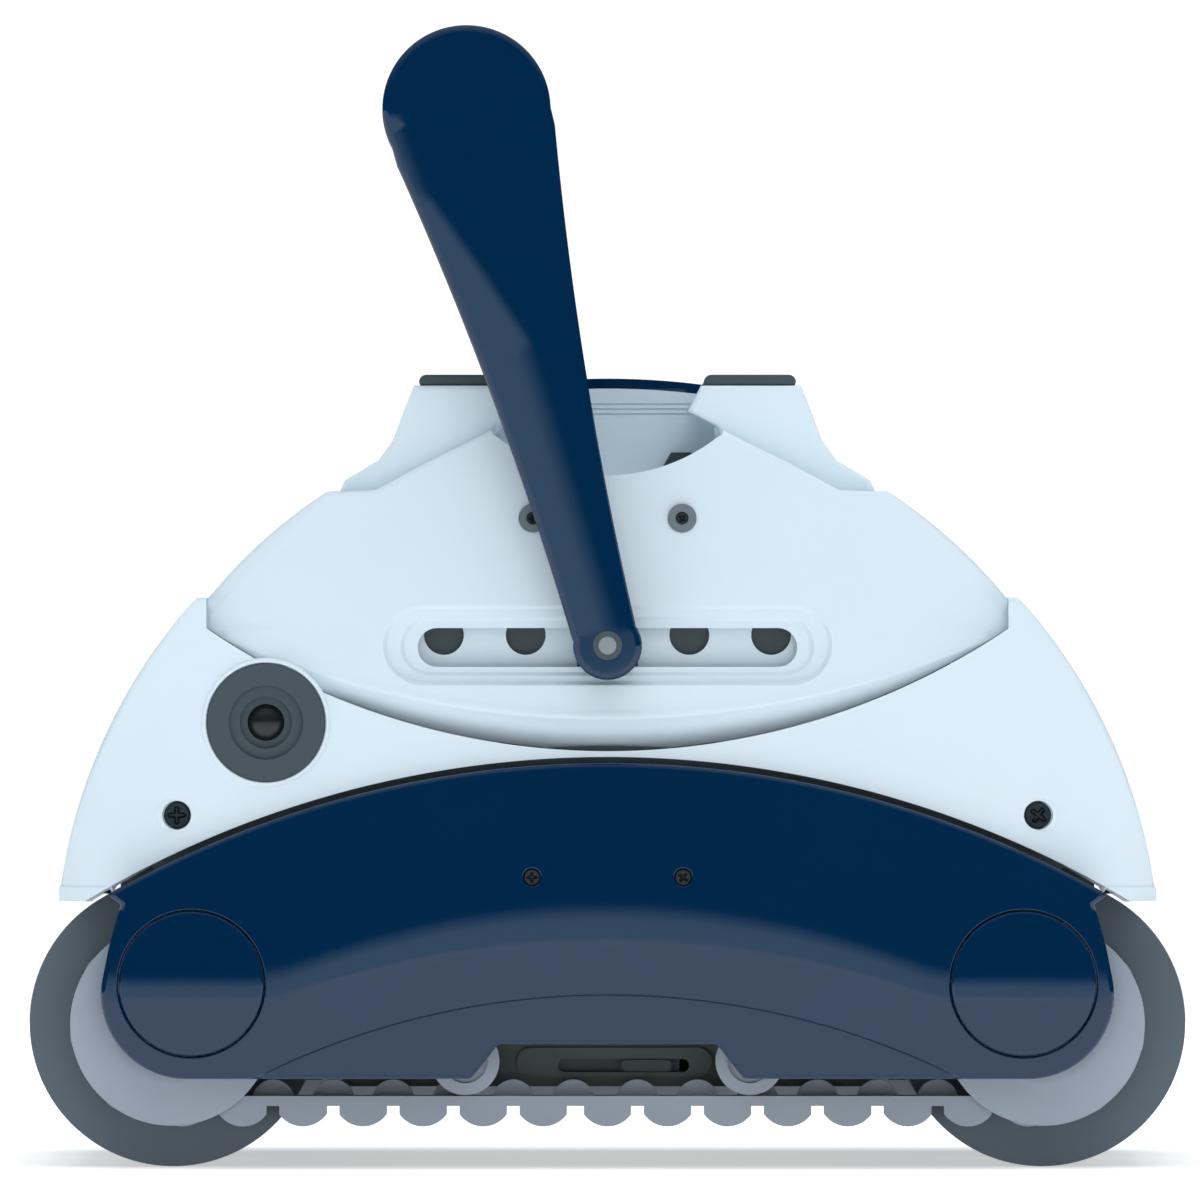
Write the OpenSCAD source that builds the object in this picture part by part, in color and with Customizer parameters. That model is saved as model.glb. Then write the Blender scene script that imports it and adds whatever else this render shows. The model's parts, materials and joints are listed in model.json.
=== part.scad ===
// Tethered twin-track pool cleaning robot with a floating carry handle.
// Millimetres. X runs along the robot, Y across it and Z up from the floor, with the origin on the floor
// under the middle. Side -1 is the right-hand side at -Y, side 1 the left-hand side at +Y. End 1 is at +X.

/* [Rollers] */
// Distance from the middle to each roller axle
axle_x = 157; // [155:1:158]
// Radius of the brush rings, which is also the height of the axles
brush_r = 52; // [51:0.5:52]
// Radius of the rim disc on each track wheel
wheel_r = 36.7; // [35:0.1:37]
// Number of blades round each brush
blade_count = 12; // [8:1:16]

/* [Belts] */
// Number of lobes round each track belt
lug_count = 37; // [36:1:38]
// Distance between belt lobes
lug_pitch = 21.67; // [21.6:0.01:21.7]
// Radius of the belt's tension line round a wheel
belt_r = 27.9; // [27.5:0.1:28]

/* [Shells] */
// Thickness of the moulded shells
wall = 3; // [2.5:0.5:3]
// Half of the body's width at the skirt
skirt_y = 188; // [187:0.5:188]
// Radius of the skirt's outline seen from the side
skirt_r = 200; // [199:0.5:200]
// Radius of the upper dome seen from the side
dome_r = 185.4; // [184:0.2:185.4]
// Height of the deck between the towers
deck_z = 244; // [242:1:244]

/* [Towers] */
// Height of the top of the towers
tower_z = 282.2; // [280:0.1:282.2]
// Thickness of the rubber pads on the towers
pad_t = 4; // [3:0.5:5]

/* [Handle] */
// Distance from the handle's pivot to the middle of the float bar
arm_len = 199.5; // [190:0.5:200]
// Angle that the handle leans back from upright
lean = 14.73; // [10:0.01:20]
// Radius of the wide end of each arm
arm_top_r = 30.3; // [28:0.1:31]
// Radius of the pivot end of each arm
arm_end_r = 12.4; // [11:0.1:13]
// Height of the handle's pivot
pivot_z = 188.4; // [188:0.1:188.8]

/* [Side panels] */
// Outer face of the side panels from the middle
panel_y = 195; // [194:0.5:195]
// Height of the middle of each panel's top edge
panel_top_z = 146.2; // [145:0.2:146.2]

/* [Hidden] */
$fn = 96;

fit = 0.05;
gap = 0.3;
eps = 0.01;

// Side wall: upright up to wall_low_z, then leaning in to wall_top_y at wall_top_z
wall_y = 186;
wall_low_z = 174;
wall_top_y = 172;
wall_top_z = 264;
corner_r = 60;
dome_z = 88.5;
skirt_z = 71.2;
skirt_low_z = 96;
fender_z = 205.6;
fender_x = 144.5;
seam_r = 258;
seam_low_z = 150.5;
arch_r = 367;
arch_top_z = 148.3;

// Cable pocket, towers and turret
scallop_r = 64;
scallop_z = 249.8;
tower_y0 = 100;
tower_y1 = 166;
pad_x = 51.45;
pad_mid_y = 133;
peg = 8;
pocket_x = 39.6;
cover_r = 280;
cover_top_z = 285.5;
cover_t = 3.8;
cover_plan_r = 70;
turret_r = 68;
turret_x = 39;
shoulder_z = 275.6;
turret_y = 97;
gland_x = 26.8;
gland_z = 252;
gland_bore_r = 3.6;
duct_r = 48.5;
duct_top_z = 246;

// Running gear, measured out from the middle plane
core_y = 146;
side_y0 = 146.5;
side_y1 = 149.5;
belt_y0 = 150;
tooth_y1 = 162;
belt_y1 = 172;
rim_y1 = 178;
hub_y1 = 180;
hub_r = 21.5;
shaft_r = 6;
band_t = 3.6;
idler_x = 51.3;
idler_z = 38.5;
idler_r = 12.3;
pin_r = 3;
drive_z = 60.6;
drive_r = 11;

// Lid, latch and hinge under the base
tub_x = 96;
tub_z = 29;
lid_x = 84;
lid_y = 128;
hinge_y = 128;
hinge_z = 33;
knuckle_r = 4;
inlet_x = 60;
inlet_l = 80;
inlet_w = 20;
flap_x = 70.5;
flap_z = 33.3;

// Handle slot and carriage
slot_z = 187.7;
slot_l = 136.8;
slot_w = 14;
slot_face_y = 181;
slot_step_y = 179;
slot_back_y = 176;
notch_pitch = 29.5;
notch_z = 192.2;
notch_r = 7.2;
arm_y0 = 190;
arm_y1 = 202;
spigot_r = 5.2;
pivot_pin_r = 3.2;
bar_r = 22;

// Bumper
bumper_x = 123;
bumper_z = 160.7;
collar_r = 23.3;
ring_r = 21.2;
ball_r = 7.6;
ball_y = 181.9;

// Screws: x and z of each
skirt_screw = [155.2, 127.3];
wall_screw = [26.9, 234.3];
panel_screw = [27.2, 105];
cap_x = 149.8;
cap_z = 66.7;
cap_r = 26.1;

WHITE = "#dbeaf3";
NAVY = "#012748";
LIGHT_GREY = "#99a2b1";
DARK_GREY = "#3f484c";
BRUSH_GREY = "#5a646e";
OLIVE = "#495251";
STEEL = "#a9adb0";

// ---- Helpers ----

// Draws on the right-hand side, or its mirror image on the left
module on_side(side) {
    if (side < 0) children();
    else mirror([0, 1, 0]) children();
}

// Draws at the front end, or its mirror image at the rear
module on_end(end) {
    if (end > 0) children();
    else mirror([1, 0, 0]) children();
}

module both_sides() {
    for (side = [-1, 1]) on_side(side) children();
}

module both_ends() {
    for (end = [-1, 1]) on_end(end) children();
}

// Turns a flat X-Z outline into a plate between two distances out on the right-hand side
module plate(y0, y1) {
    translate([0, -y0, 0]) rotate([90, 0, 0]) linear_extrude(height = y1 - y0) children();
}

// Turns a flat X-Z outline into a prism across the whole robot
module across(half) {
    translate([0, half, 0]) rotate([90, 0, 0]) linear_extrude(height = 2 * half) children();
}

// Turns a flat Y-Z outline into a prism along the whole robot
module along(half) {
    translate([-half, 0, 0]) rotate([90, 0, 90]) linear_extrude(height = 2 * half) children();
}

// A round bar along Y on the right-hand side
module rod(x, z, r, y0, y1) {
    translate([x, -y0, z]) rotate([90, 0, 0]) cylinder(r = r, h = y1 - y0);
}

module block(x0, x1, y0, y1, z0, z1) {
    translate([x0, y0, z0]) cube([x1 - x0, y1 - y0, z1 - z0]);
}

// Rectangle with round corners
module round_rect(hx, hy, r) {
    square([2 * (hx - r), 2 * hy], center = true);
    square([2 * hx, 2 * (hy - r)], center = true);
    for (sx = [-1, 1], sy = [-1, 1]) translate([sx * (hx - r), sy * (hy - r)]) circle(r = r);
}

// Slot with round ends
module oval(length, width) {
    square([length - width, width], center = true);
    for (s = [-1, 1]) translate([s * (length - width) / 2, 0]) circle(r = width / 2);
}

// Distance of the side wall's outer face from the middle at a height
function side_at(z) =
    wall_y - max(0, z - wall_low_z) * (wall_y - wall_top_y) / (wall_top_z - wall_low_z);

// Cross-section between the two side walls, taken in by t
module side_section(t) {
    top = tower_z + 20;
    polygon([
        [-wall_y + t, 0], [-wall_y + t, wall_low_z], [-side_at(top) + t, top],
        [side_at(top) - t, top], [wall_y - t, wall_low_z], [wall_y - t, 0]
    ]);
}

// ---- Shells ----

module seam_disc(r) {
    translate([0, seam_low_z + seam_r]) circle(r = r, $fn = 200);
}

// Side view of the upper shell's opening in the skirt: above the seam and between the fender tops
module above_seam(r, half) {
    intersection() {
        seam_disc(r);
        translate([-half, 0]) square([2 * half, 420]);
    }
}

module arch_disc() {
    translate([0, arch_top_z - arch_r]) circle(r = arch_r, $fn = 200);
}

module skirt_solid(t) {
    intersection() {
        across(skirt_y + 5) translate([0, skirt_z]) circle(r = skirt_r - t, $fn = 200);
        linear_extrude(height = 300) round_rect(skirt_r - t, skirt_y - t, corner_r - t);
    }
}

// Cups round the skirt screws: solid when cut is false, their holes when it is true
module skirt_cup(cut) {
    both_sides() both_ends() {
        if (!cut) rod(skirt_screw[0], skirt_screw[1], 8, 175.2, 184.5);
        if (cut) rod(skirt_screw[0], skirt_screw[1], spigot_r + fit, 179.5, 190);
        if (cut) rod(skirt_screw[0], skirt_screw[1], 2.1, 170, 180);
    }
}

// The collar sits towards the rear on the right and towards the front on the left
module bumper_place(side) {
    if (side < 0) translate([-bumper_x, 0, bumper_z]) children();
    else rotate([0, 0, 180]) translate([-bumper_x, 0, bumper_z]) children();
}

module lower_skirt() {
    color(WHITE) difference() {
        union() {
            difference() {
                union() {
                    skirt_solid(0);
                    linear_extrude(height = skirt_low_z + 5.5) round_rect(skirt_r - 0.5, skirt_y + 1, corner_r + 1);
                }
                skirt_solid(wall);
                linear_extrude(height = skirt_low_z + 7)
                    round_rect(skirt_r - wall - 0.6, skirt_y - wall, corner_r - wall);
                across(skirt_y + 5) above_seam(seam_r + gap / 2, fender_x);
                across(skirt_y + 5) arch_disc();
                block(-250, 250, -250, 250, -1, skirt_low_z);
                block(-250, 250, -250, 250, fender_z, 320);
            }
            skirt_cup(false);
            for (side = [-1, 1]) bumper_place(side) rod(0, 0, collar_r, 180, 188.8);
        }
        skirt_cup(true);
        for (side = [-1, 1]) bumper_place(side) {
            rod(0, 0, ring_r + fit, 183, 190);
            rod(0, 0, 10 + fit, 170, 184);
        }
    }
}

// Roof over the deck: it climbs from the dome to the outlet tower, lowered by t
module roof_outline(t) {
    drop = 1.1 * t;
    polygon([
        [-97, 220], [-97, deck_z - t], [-83.5, 244.5 - drop], [-65, 254.5 - drop], [-49, 262.4 - drop],
        [-29, 273 - drop], [29, 273 - drop], [49, 262.4 - drop], [65, 254.5 - drop], [83.5, 244.5 - drop],
        [97, deck_z - t], [97, 220]
    ]);
}

module dome_outline(t) {
    intersection() {
        translate([0, dome_z]) circle(r = dome_r - t, $fn = 200);
        translate([-220, 0]) square([440, deck_z - t]);
    }
    roof_outline(t);
}

module shell_solid(t) {
    intersection() {
        across(200) dome_outline(t);
        linear_extrude(height = 300) round_rect(190 - t, wall_y - t, corner_r - t);
        along(200) side_section(t);
    }
}

// Well for the outlet tower and the cable pockets beside it, grown by t
module well_plan(t) {
    circle(r = turret_r + gap + t);
    square([2 * (pocket_x + t), 4 * turret_y], center = true);
}

tower_outline = [
    [29, 273], [33.7, tower_z], [69.7, tower_z], [72, 276.8], [74.7, 269.6], [77.4, 262.4], [82.6, 255.2],
    [94.7, 248], [97, 243], [83.5, 241], [42.6, 260], [39.6, 267.4]
];
tower_hollow = [
    [44, 250], [44, 272], [38, tower_z - 3], [68, tower_z - 3], [69.3, 276], [72, 268.5], [74.8, 260.8],
    [80.6, 252.6], [88, 246], [84, 238]
];

module wall_boss() {
    both_sides() both_ends() rod(wall_screw[0], wall_screw[1], 8, 165, 174);
}

module wall_boss_holes() {
    both_sides() both_ends() {
        rod(wall_screw[0], wall_screw[1], 1.85, 160, 180);
        rod(wall_screw[0], wall_screw[1], 5.15, 171.5, 182);
    }
}

// Space inside the wells, open at the top
module well_space() {
    intersection() {
        translate([0, 0, deck_z]) linear_extrude(height = 60) well_plan(0);
        along(200) side_section(wall);
    }
}

module shell_with_wells() {
    difference() {
        union() {
            difference() {
                shell_solid(0);
                shell_solid(wall);
            }
            intersection() {
                shell_solid(0);
                translate([0, 0, deck_z - wall]) linear_extrude(height = 60) well_plan(wall);
            }
            both_sides() intersection() {
                plate(slot_back_y, 190) translate([0, slot_z]) oval(176, 38);
                along(200) side_section(0);
            }
            wall_boss();
        }
        well_space();
        both_sides() plate(160, 200) translate([0, scallop_z + scallop_r]) circle(r = scallop_r);
        across(200) difference() {
            translate([-250, 0]) square([500, 300]);
            above_seam(seam_r - gap / 2, fender_x - gap);
        }
    }
}

module upper_shell() {
    color(WHITE) difference() {
        union() {
            shell_with_wells();
            both_sides() both_ends() plate(tower_y0, tower_y1) polygon(tower_outline);
        }
        both_sides() both_ends() plate(tower_y0 + wall, tower_y1 - wall) polygon(tower_hollow);
        both_sides() {
            plate(slot_face_y, 195) translate([0, slot_z + 0.8]) oval(162, 29);
            plate(slot_step_y, 195) translate([0, slot_z + 0.4]) oval(149.4, 21.5);
            plate(slot_back_y - 1, 195) translate([0, slot_z]) oval(slot_l, slot_w);
        }
        wall_boss_holes();
        for (side = [-1, 1]) bumper_place(side) rod(0, 0, collar_r + gap, 170, 192);
        cylinder(r = duct_r + 1, h = 260);
        both_ends() both_sides() block(
            pad_x - peg / 2 - 0.1, pad_x + peg / 2 + 0.1,
            -pad_mid_y - peg / 2 - 0.1, -pad_mid_y + peg / 2 + 0.1, 270, 290
        );
    }
}

module top_pads() {
    color(DARK_GREY) both_ends() both_sides() {
        translate([pad_x, -pad_mid_y, tower_z]) linear_extrude(height = pad_t) round_rect(16.7, 31, 6);
        block(
            pad_x - peg / 2, pad_x + peg / 2, -pad_mid_y - peg / 2, -pad_mid_y + peg / 2,
            tower_z - 4, tower_z + 1
        );
    }
}

module cover_arch(r) {
    translate([0, cover_top_z - cover_r]) circle(r = r, $fn = 200);
}

// Outlet tower: a round well with a flat-faced shoulder towards each side
module turret_plan(t) {
    circle(r = turret_r - t);
    square([2 * (turret_x - t), 2 * (turret_y - t)], center = true);
}

module turret() {
    under_r = cover_r - cover_t - 0.05;
    color(WHITE) difference() {
        intersection() {
            translate([0, 0, deck_z]) linear_extrude(height = 50) turret_plan(0);
            across(200) cover_arch(under_r);
        }
        // open at the top inside the round well, roofed over the shoulders
        translate([0, 0, deck_z - 1]) cylinder(r = turret_r - wall, h = 50);
        translate([0, 0, deck_z - 1]) linear_extrude(height = shoulder_z - deck_z + 1) turret_plan(wall);
        rod(gland_x, gland_z, 5, turret_y - 10, turret_y + 1);
        for (k = [0:2]) plate(turret_y - 0.8, turret_y + 1)
            translate([-turret_x - 1, 272 + 1.8 * k]) square([2 * turret_x + 2, 0.7]);
    }
}

module outlet_grille() {
    slots = 20;
    color(NAVY) difference() {
        intersection() {
            linear_extrude(height = 320) circle(r = cover_plan_r);
            across(200) difference() {
                cover_arch(cover_r);
                cover_arch(cover_r - cover_t);
            }
        }
        for (k = [0:slots - 1]) rotate([0, 0, (k + 0.5) * 360 / slots])
            translate([44, 0, 255]) linear_extrude(height = 40) oval(36, 3.6);
        cylinder(r = 9, h = 400);
    }
}

module cable_gland() {
    color(DARK_GREY) translate([gland_x, 0, gland_z]) difference() {
        union() {
            rod(0, 0, 4.9, turret_y - 12, turret_y + 12);
            rod(0, 0, 7, turret_y - 7, turret_y - wall - 0.1);
        }
        rod(0, 0, gland_bore_r, turret_y - 20, turret_y + 20);
    }
}

module gland_nut() {
    color(DARK_GREY) translate([gland_x, -turret_y - 0.1, gland_z]) difference() {
        rotate([90, 0, 0]) cylinder(r = 7.4, h = 7, $fn = 6);
        translate([0, 1, 0]) rotate([90, 0, 0]) cylinder(r = 4.95, h = 10);
    }
}

// ---- Side panels ----

// Outline of a panel taken in by t
module panel_outline(t) {
    intersection() {
        translate([0, panel_top_z - 365]) circle(r = 365 - t, $fn = 200);
        union() {
            difference() {
                both_mirrored() union() {
                    translate([149.8, 66.7]) circle(r = 34.3 - t);
                    polygon([
                        [0, 32.4 + t], [149.8, 32.4 + t], [149.8, 66.7], [182.1 - t, 66.7], [182.3 - t, 63.4],
                        [179.5 - t, 79.6], [174.8 - t, 95], [179.8 - 2 * t, 98.3], [179.8 - 2 * t, 150], [0, 150]
                    ]);
                }
                translate([0, 28]) both_mirrored() polygon([
                    [0, 0], [48.8 + t, 0], [48.8 + t, 4.4], [38 + t, 16.9 + t], [0, 16.9 + t]
                ]);
            }
        }
    }
}

module both_mirrored() {
    children();
    mirror([1, 0]) children();
}

module side_panel(side) {
    color(NAVY) on_side(side) difference() {
        union() {
            plate(191, panel_y) panel_outline(0);
            difference() {
                plate(182, 191.5) panel_outline(0.01);
                plate(181, 192) panel_outline(wall);
            }
            for (s = [-1, 1]) rod(s * panel_screw[0], panel_screw[1], 5.5, 188, 191.5);
        }
        plate(panel_y - 1.2, panel_y + 1) intersection() {
            translate([0, 63 - 284]) circle(r = 284, $fn = 200);
            translate([-130, 25]) square([260, 60]);
        }
        for (s = [-1, 1]) {
            rod(s * cap_x, cap_z, cap_r + gap, panel_y - 2, panel_y + 1);
            rod(s * panel_screw[0], panel_screw[1], 3.1, panel_y - 1.5, panel_y + 1);
            rod(s * panel_screw[0], panel_screw[1], 1.65, 180, panel_y + 1);
        }
    }
}

module hub_caps() {
    color(NAVY) both_sides() both_ends() {
        rod(cap_x, cap_z, cap_r, panel_y - 2, panel_y + 0.3);
    }
}

// Cross-head screw along Y: head at x, z with its face at y1
module screw(x, z, head_r, head_t, shank_r, length, y1) {
    difference() {
        union() {
            rod(x, z, head_r, y1 - head_t, y1);
            rod(x, z, shank_r, y1 - length, y1 - head_t + eps);
        }
        for (a = [45, 135]) translate([x, -y1, z]) rotate([0, a, 0])
            cube([head_r * 1.2, head_t, head_r * 0.24], center = true);
    }
}

module panel_screws() {
    color(DARK_GREY) both_sides() both_ends()
        screw(panel_screw[0], panel_screw[1], 3, 1.4, 1.6, 20, panel_y - 0.05);
}

module skirt_screws() {
    color(DARK_GREY) both_sides() both_ends()
        screw(skirt_screw[0], skirt_screw[1], spigot_r, 2.4, 2, 20, 183);
}

module wall_screws() {
    color(DARK_GREY) both_sides() both_ends()
        screw(wall_screw[0], wall_screw[1], 2.3, 1.6, 1.8, 14, 177.6);
}

module wall_bushes() {
    color(LIGHT_GREY) both_sides() both_ends() difference() {
        rod(wall_screw[0], wall_screw[1], 5.1, 171.5, 177.8);
        rod(wall_screw[0], wall_screw[1], 2.35, 175.9, 180);
        rod(wall_screw[0], wall_screw[1], 1.85, 170, 180);
    }
}

module notch_plates() {
    color(WHITE) both_sides() difference() {
        union() {
            plate(170.3, 172.8) translate([0, slot_z]) oval(174, 34);
            for (s = [-1, 1]) rod(s * 80, slot_z, 5.5, 172.5, slot_back_y);
        }
        for (k = [-2:2]) rod(k * notch_pitch, notch_z, notch_r, 165, 176);
    }
}

// ---- Bumpers ----

// Half section of a ring: its stem behind, its stepped face in front and the ball's round seat
module ring_section() {
    difference() {
        polygon([
            [0, 173], [10, 173], [10, 183], [ring_r, 183], [ring_r, 189.2], [13.4, 189.2], [13.4, 187.6],
            [9.4, 187.6], [9.4, 186], [0, 186]
        ]);
        translate([0, ball_y]) circle(r = ball_r + 0.2);
    }
}

module bumper_rings() {
    color(DARK_GREY) for (side = [-1, 1]) bumper_place(side) rotate([90, 0, 0])
        rotate_extrude() ring_section();
}

module bumper_ball(side) {
    color("#0e1216") bumper_place(side) translate([0, -ball_y, 0]) sphere(r = ball_r);
}

// ---- Base, motor and filter ----

// Tub with the side plates, posts and brackets that carry everything else, open below for the lid
module base_frame() {
    color(OLIVE) difference() {
        union() {
            // tub with its four walls, its bottom rim and its filter shelves
            difference() {
                block(-tub_x, tub_x, -side_y1, side_y1, tub_z, 136);
                block(-tub_x + wall, tub_x - wall, -side_y0, side_y0, tub_z + wall, 137);
                block(-lid_x - 1, lid_x + 1, -lid_y - 1.5, lid_y + 6, tub_z - 1, tub_z + wall + 1);
                block(-tub_x - 1, tub_x + 1, -tooth_y1, -side_y1 + eps, 0, 200);
            }
            both_ends() block(88, tub_x - 1, -side_y0 - 1, side_y0 + 1, 106, 109);
            // side plates out to the axles, with the roller bosses
            both_sides() plate(side_y0, side_y1) union() {
                translate([0, 90]) square([2 * 176, 46], center = true);
                both_mirrored() {
                    translate([95, 40]) square([62, 40]);
                    translate([axle_x, brush_r]) circle(r = 16);
                }
            }
            // posts for the side panels and the skirt
            both_sides() both_ends() {
                rod(panel_screw[0], panel_screw[1], 5, side_y1 - 1, 187.9);
                rod(skirt_screw[0], skirt_screw[1], 6, side_y1 - 1, 175);
                plate(side_y0, side_y1) translate([140, 100]) square([26, 36]);
            }
            // cradle bosses that carry the motor unit round each drive shaft
            both_sides() rod(0, drive_z, 18, 138.2, side_y0 + 1);
            // centre hangers of the split rollers, with their stub pins
            both_ends() {
                block(tub_x - 1, axle_x, -2.5, 2.5, 84, 94);
                block(axle_x - 9, axle_x + 9, -2.5, 2.5, brush_r, 94);
                rod(axle_x, brush_r, 9, -2.5, 2.5);
                rod(axle_x, brush_r, 5, -12, 12);
            }
            // guide plate of the lid latch on the right side wall
            plate(side_y1 - 0.5, 151.4) union() {
                translate([2.5, 37.75]) square([60, 10.5], center = true);
                translate([-27.5, 37.75]) circle(r = 5.25);
                translate([32.5, 37.75]) circle(r = 5.25);
            }
            // ears of the lid hinge
            both_ends() {
                block(35.3, 44, hinge_y - 2, lid_y + 8, tub_z, hinge_z + 3);
                translate([35.3, hinge_y, hinge_z]) rotate([0, 90, 0]) cylinder(r = knuckle_r, h = 8.7);
            }
        }
        both_sides() both_ends() {
            rod(axle_x, brush_r, 9.05, 140, 152);
            rod(panel_screw[0], panel_screw[1], 1.65, 160, 190);
            rod(skirt_screw[0], skirt_screw[1], 2.05, 160, 180);
            rod(idler_x, idler_z, pin_r + fit, 145, 151);
        }
        both_sides() rod(0, drive_z, 5.05, 130, 155);
        plate(140, 155) translate([5.75, 36.55]) oval(47.5, 4.8);
        translate([-50, hinge_y, hinge_z]) rotate([0, 90, 0]) cylinder(r = 2.05, h = 100);
    }
}

module lid_hinge_pins() {
    color(STEEL) both_ends() translate([19, hinge_y, hinge_z]) rotate([0, 90, 0]) cylinder(r = 2, h = 25);
}

module motor_unit() {
    color(LIGHT_GREY) difference() {
        union() {
            block(-38, 38, -138, 138, 50, 116);
            block(-44, 44, -138, 138, 116, 124);
        }
        block(-34, 34, -134, 134, 54, 125);
        both_sides() rod(0, drive_z, 5.05, 120, 140);
    }
}

module motor_seal() {
    color(DARK_GREY) difference() {
        block(-42, 42, -136.5, 136.5, 124, 125.5);
        block(-36, 36, -133, 133, 123, 127);
    }
}

module motor_cover() {
    color(LIGHT_GREY) difference() {
        union() {
            block(-44, 44, -138, 138, 125.5, 130);
            translate([0, 0, 130]) cylinder(r = 12, h = 12);
        }
        translate([0, 0, 120]) cylinder(r = 4.05, h = 30);
    }
}

module duct_tube() {
    color(LIGHT_GREY) difference() {
        translate([0, 0, 130]) cylinder(r = duct_r, h = duct_top_z - 130);
        translate([0, 0, 129]) cylinder(r = duct_r - 2.5, h = 130);
        for (a = [0, 90]) rotate([0, 0, a]) block(-28, 28, -60, 60, 136, 176);
    }
}

module impeller() {
    blades = 5;
    color(NAVY) {
        difference() {
            union() {
                translate([0, 0, 126]) cylinder(r = 4, h = 100);
                translate([0, 0, 222]) cylinder(r = 13, h = 22);
                for (k = [0:blades - 1]) rotate([0, 0, k * 360 / blades])
                    translate([26.5, 0, 233]) rotate([32, 0, 0]) cube([33, 30, 2.2], center = true);
            }
            translate([0, 0, 240]) cylinder(r = 9, h = 10);
        }
    }
}

// Pleated filter cartridge in its frame
module filter_panel(end) {
    x0 = 45.5;
    x1 = 92.5;
    pleats = 8;
    step = (x1 - x0 - 6) / pleats;
    color(LIGHT_GREY) on_end(end) union() {
        difference() {
            block(x0, x1, -130, 130, 109, 122);
            block(x0 + 3, x1 - 3, -127, 127, 108, 123);
        }
        across(127.5) for (k = [0:pleats - 1]) translate([x0 + 3 + k * step, 0]) {
            polygon([
                [-0.2, 110], [0.9, 110], [step / 2 + 0.55, 121], [step / 2 - 0.55, 121]
            ]);
            polygon([
                [step + 0.2, 110], [step - 0.9, 110], [step / 2 - 0.55, 121], [step / 2 + 0.55, 121]
            ]);
        }
    }
}

module filter_lid() {
    color(OLIVE) difference() {
        union() {
            block(-lid_x, lid_x, -lid_y, hinge_y - 6, tub_z, tub_z + 3);
            // stiffening rim round the inside
            difference() {
                block(-lid_x + 4, lid_x - 4, -lid_y + 18, hinge_y - 10, tub_z + 2, tub_z + 10);
                block(-lid_x + 7, lid_x - 7, -lid_y + 21, hinge_y - 13, tub_z + 1, tub_z + 12);
            }
            // hook that rests on the latch's tongue
            block(-58, -48, -lid_y + 8.5, -lid_y + 12, tub_z + 2, 44);
            block(-58, -48, -lid_y + 2, -lid_y + 9, 40, 44);
            both_ends() {
                block(19, 35, hinge_y - 8, hinge_y, tub_z, tub_z + 3);
                translate([19, hinge_y, hinge_z]) rotate([0, 90, 0]) cylinder(r = knuckle_r, h = 16);
                for (s = [-1, 1]) block(flap_x - 3, flap_x + 3, s * 44 - 2, s * 44 + 2, tub_z + 2, flap_z + 3);
            }
        }
        both_ends() block(inlet_x - inlet_w / 2, inlet_x + inlet_w / 2, -inlet_l / 2, inlet_l / 2, 20, 60);
        translate([10, hinge_y, hinge_z]) rotate([0, 90, 0]) cylinder(r = 2.05, h = 40);
        translate([-50, hinge_y, hinge_z]) rotate([0, 90, 0]) cylinder(r = 2.05, h = 40);
        both_ends() translate([flap_x, -60, flap_z]) rotate([-90, 0, 0]) cylinder(r = 1 + fit, h = 120);
    }
}

// Flap over an inlet, hinged along its outer edge
module inlet_flap(end) {
    color(DARK_GREY) on_end(end) union() {
        block(inlet_x - 11.6, flap_x, -41, 41, flap_z - 1, flap_z + 0.4);
        translate([flap_x, -45.5, flap_z]) rotate([-90, 0, 0]) cylinder(r = 1, h = 91);
    }
}

module lid_latch() {
    color(DARK_GREY) union() {
        plate(143.5, 146.2) translate([0, 37]) square([52, 7], center = true);
        plate(145.9, 152.6) translate([14, 36.55]) oval(18.3, 4.2);
        block(-24, -20, -145, -lid_y + 5, 35.2, 38.8);
        block(-45.5, -20, -lid_y + 4.2, -lid_y + 7.8, 34.8, 39.2);
    }
}

// ---- Rollers ----

module brush_core(end, side) {
    color(LIGHT_GREY) on_end(end) on_side(side) difference() {
        rod(axle_x, brush_r, 20, 4, core_y);
        rod(axle_x, brush_r, 17, 8, core_y - 6);
        rod(axle_x, brush_r, 5 + fit, 0, 12.5);
        rod(axle_x, brush_r, shaft_r + fit, core_y - 5, core_y + 1);
    }
}

module brush_sleeve(end, side) {
    ring_w = 14;
    color(BRUSH_GREY) on_end(end) on_side(side) difference() {
        union() {
            rod(axle_x, brush_r, 24, 4, core_y);
            rod(axle_x, brush_r, brush_r, core_y - ring_w, core_y);
            rod(axle_x, brush_r, brush_r, 4, 4 + ring_w);
            for (k = [0:blade_count - 1]) translate([axle_x, 0, brush_r]) rotate([0, k * 360 / blade_count, 0])
                block(20, brush_r - 0.7, -core_y + 1, -5, -1.3, 1.3);
        }
        rod(axle_x, brush_r, 20 + fit, 0, 160);
    }
}

module wheel(end, side) {
    color(LIGHT_GREY) on_end(end) on_side(side) difference() {
        union() {
            rod(axle_x, brush_r, shaft_r, core_y - 4.9, belt_y0 + 1);
            rod(axle_x, brush_r, 19.6, belt_y0 + 0.3, rim_y1 - 2);
            rod(axle_x, brush_r, belt_r - 2.2, tooth_y1 + 1, rim_y1 - 2);
            rod(axle_x, brush_r, wheel_r, belt_y1 + 1, rim_y1);
            rod(axle_x, brush_r, hub_r, rim_y1 - 1, hub_y1);
        }
        rod(axle_x, brush_r, hub_r - 4, hub_y1 - 3, hub_y1 + 1);
    }
}

module axle_bushes() {
    color(DARK_GREY) both_sides() both_ends() difference() {
        rod(axle_x, brush_r, 9, side_y0, side_y1);
        rod(axle_x, brush_r, shaft_r + fit, 140, 155);
    }
}

// ---- Belts ----

straight = 2 * axle_x;
bend = PI * belt_r;

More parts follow.
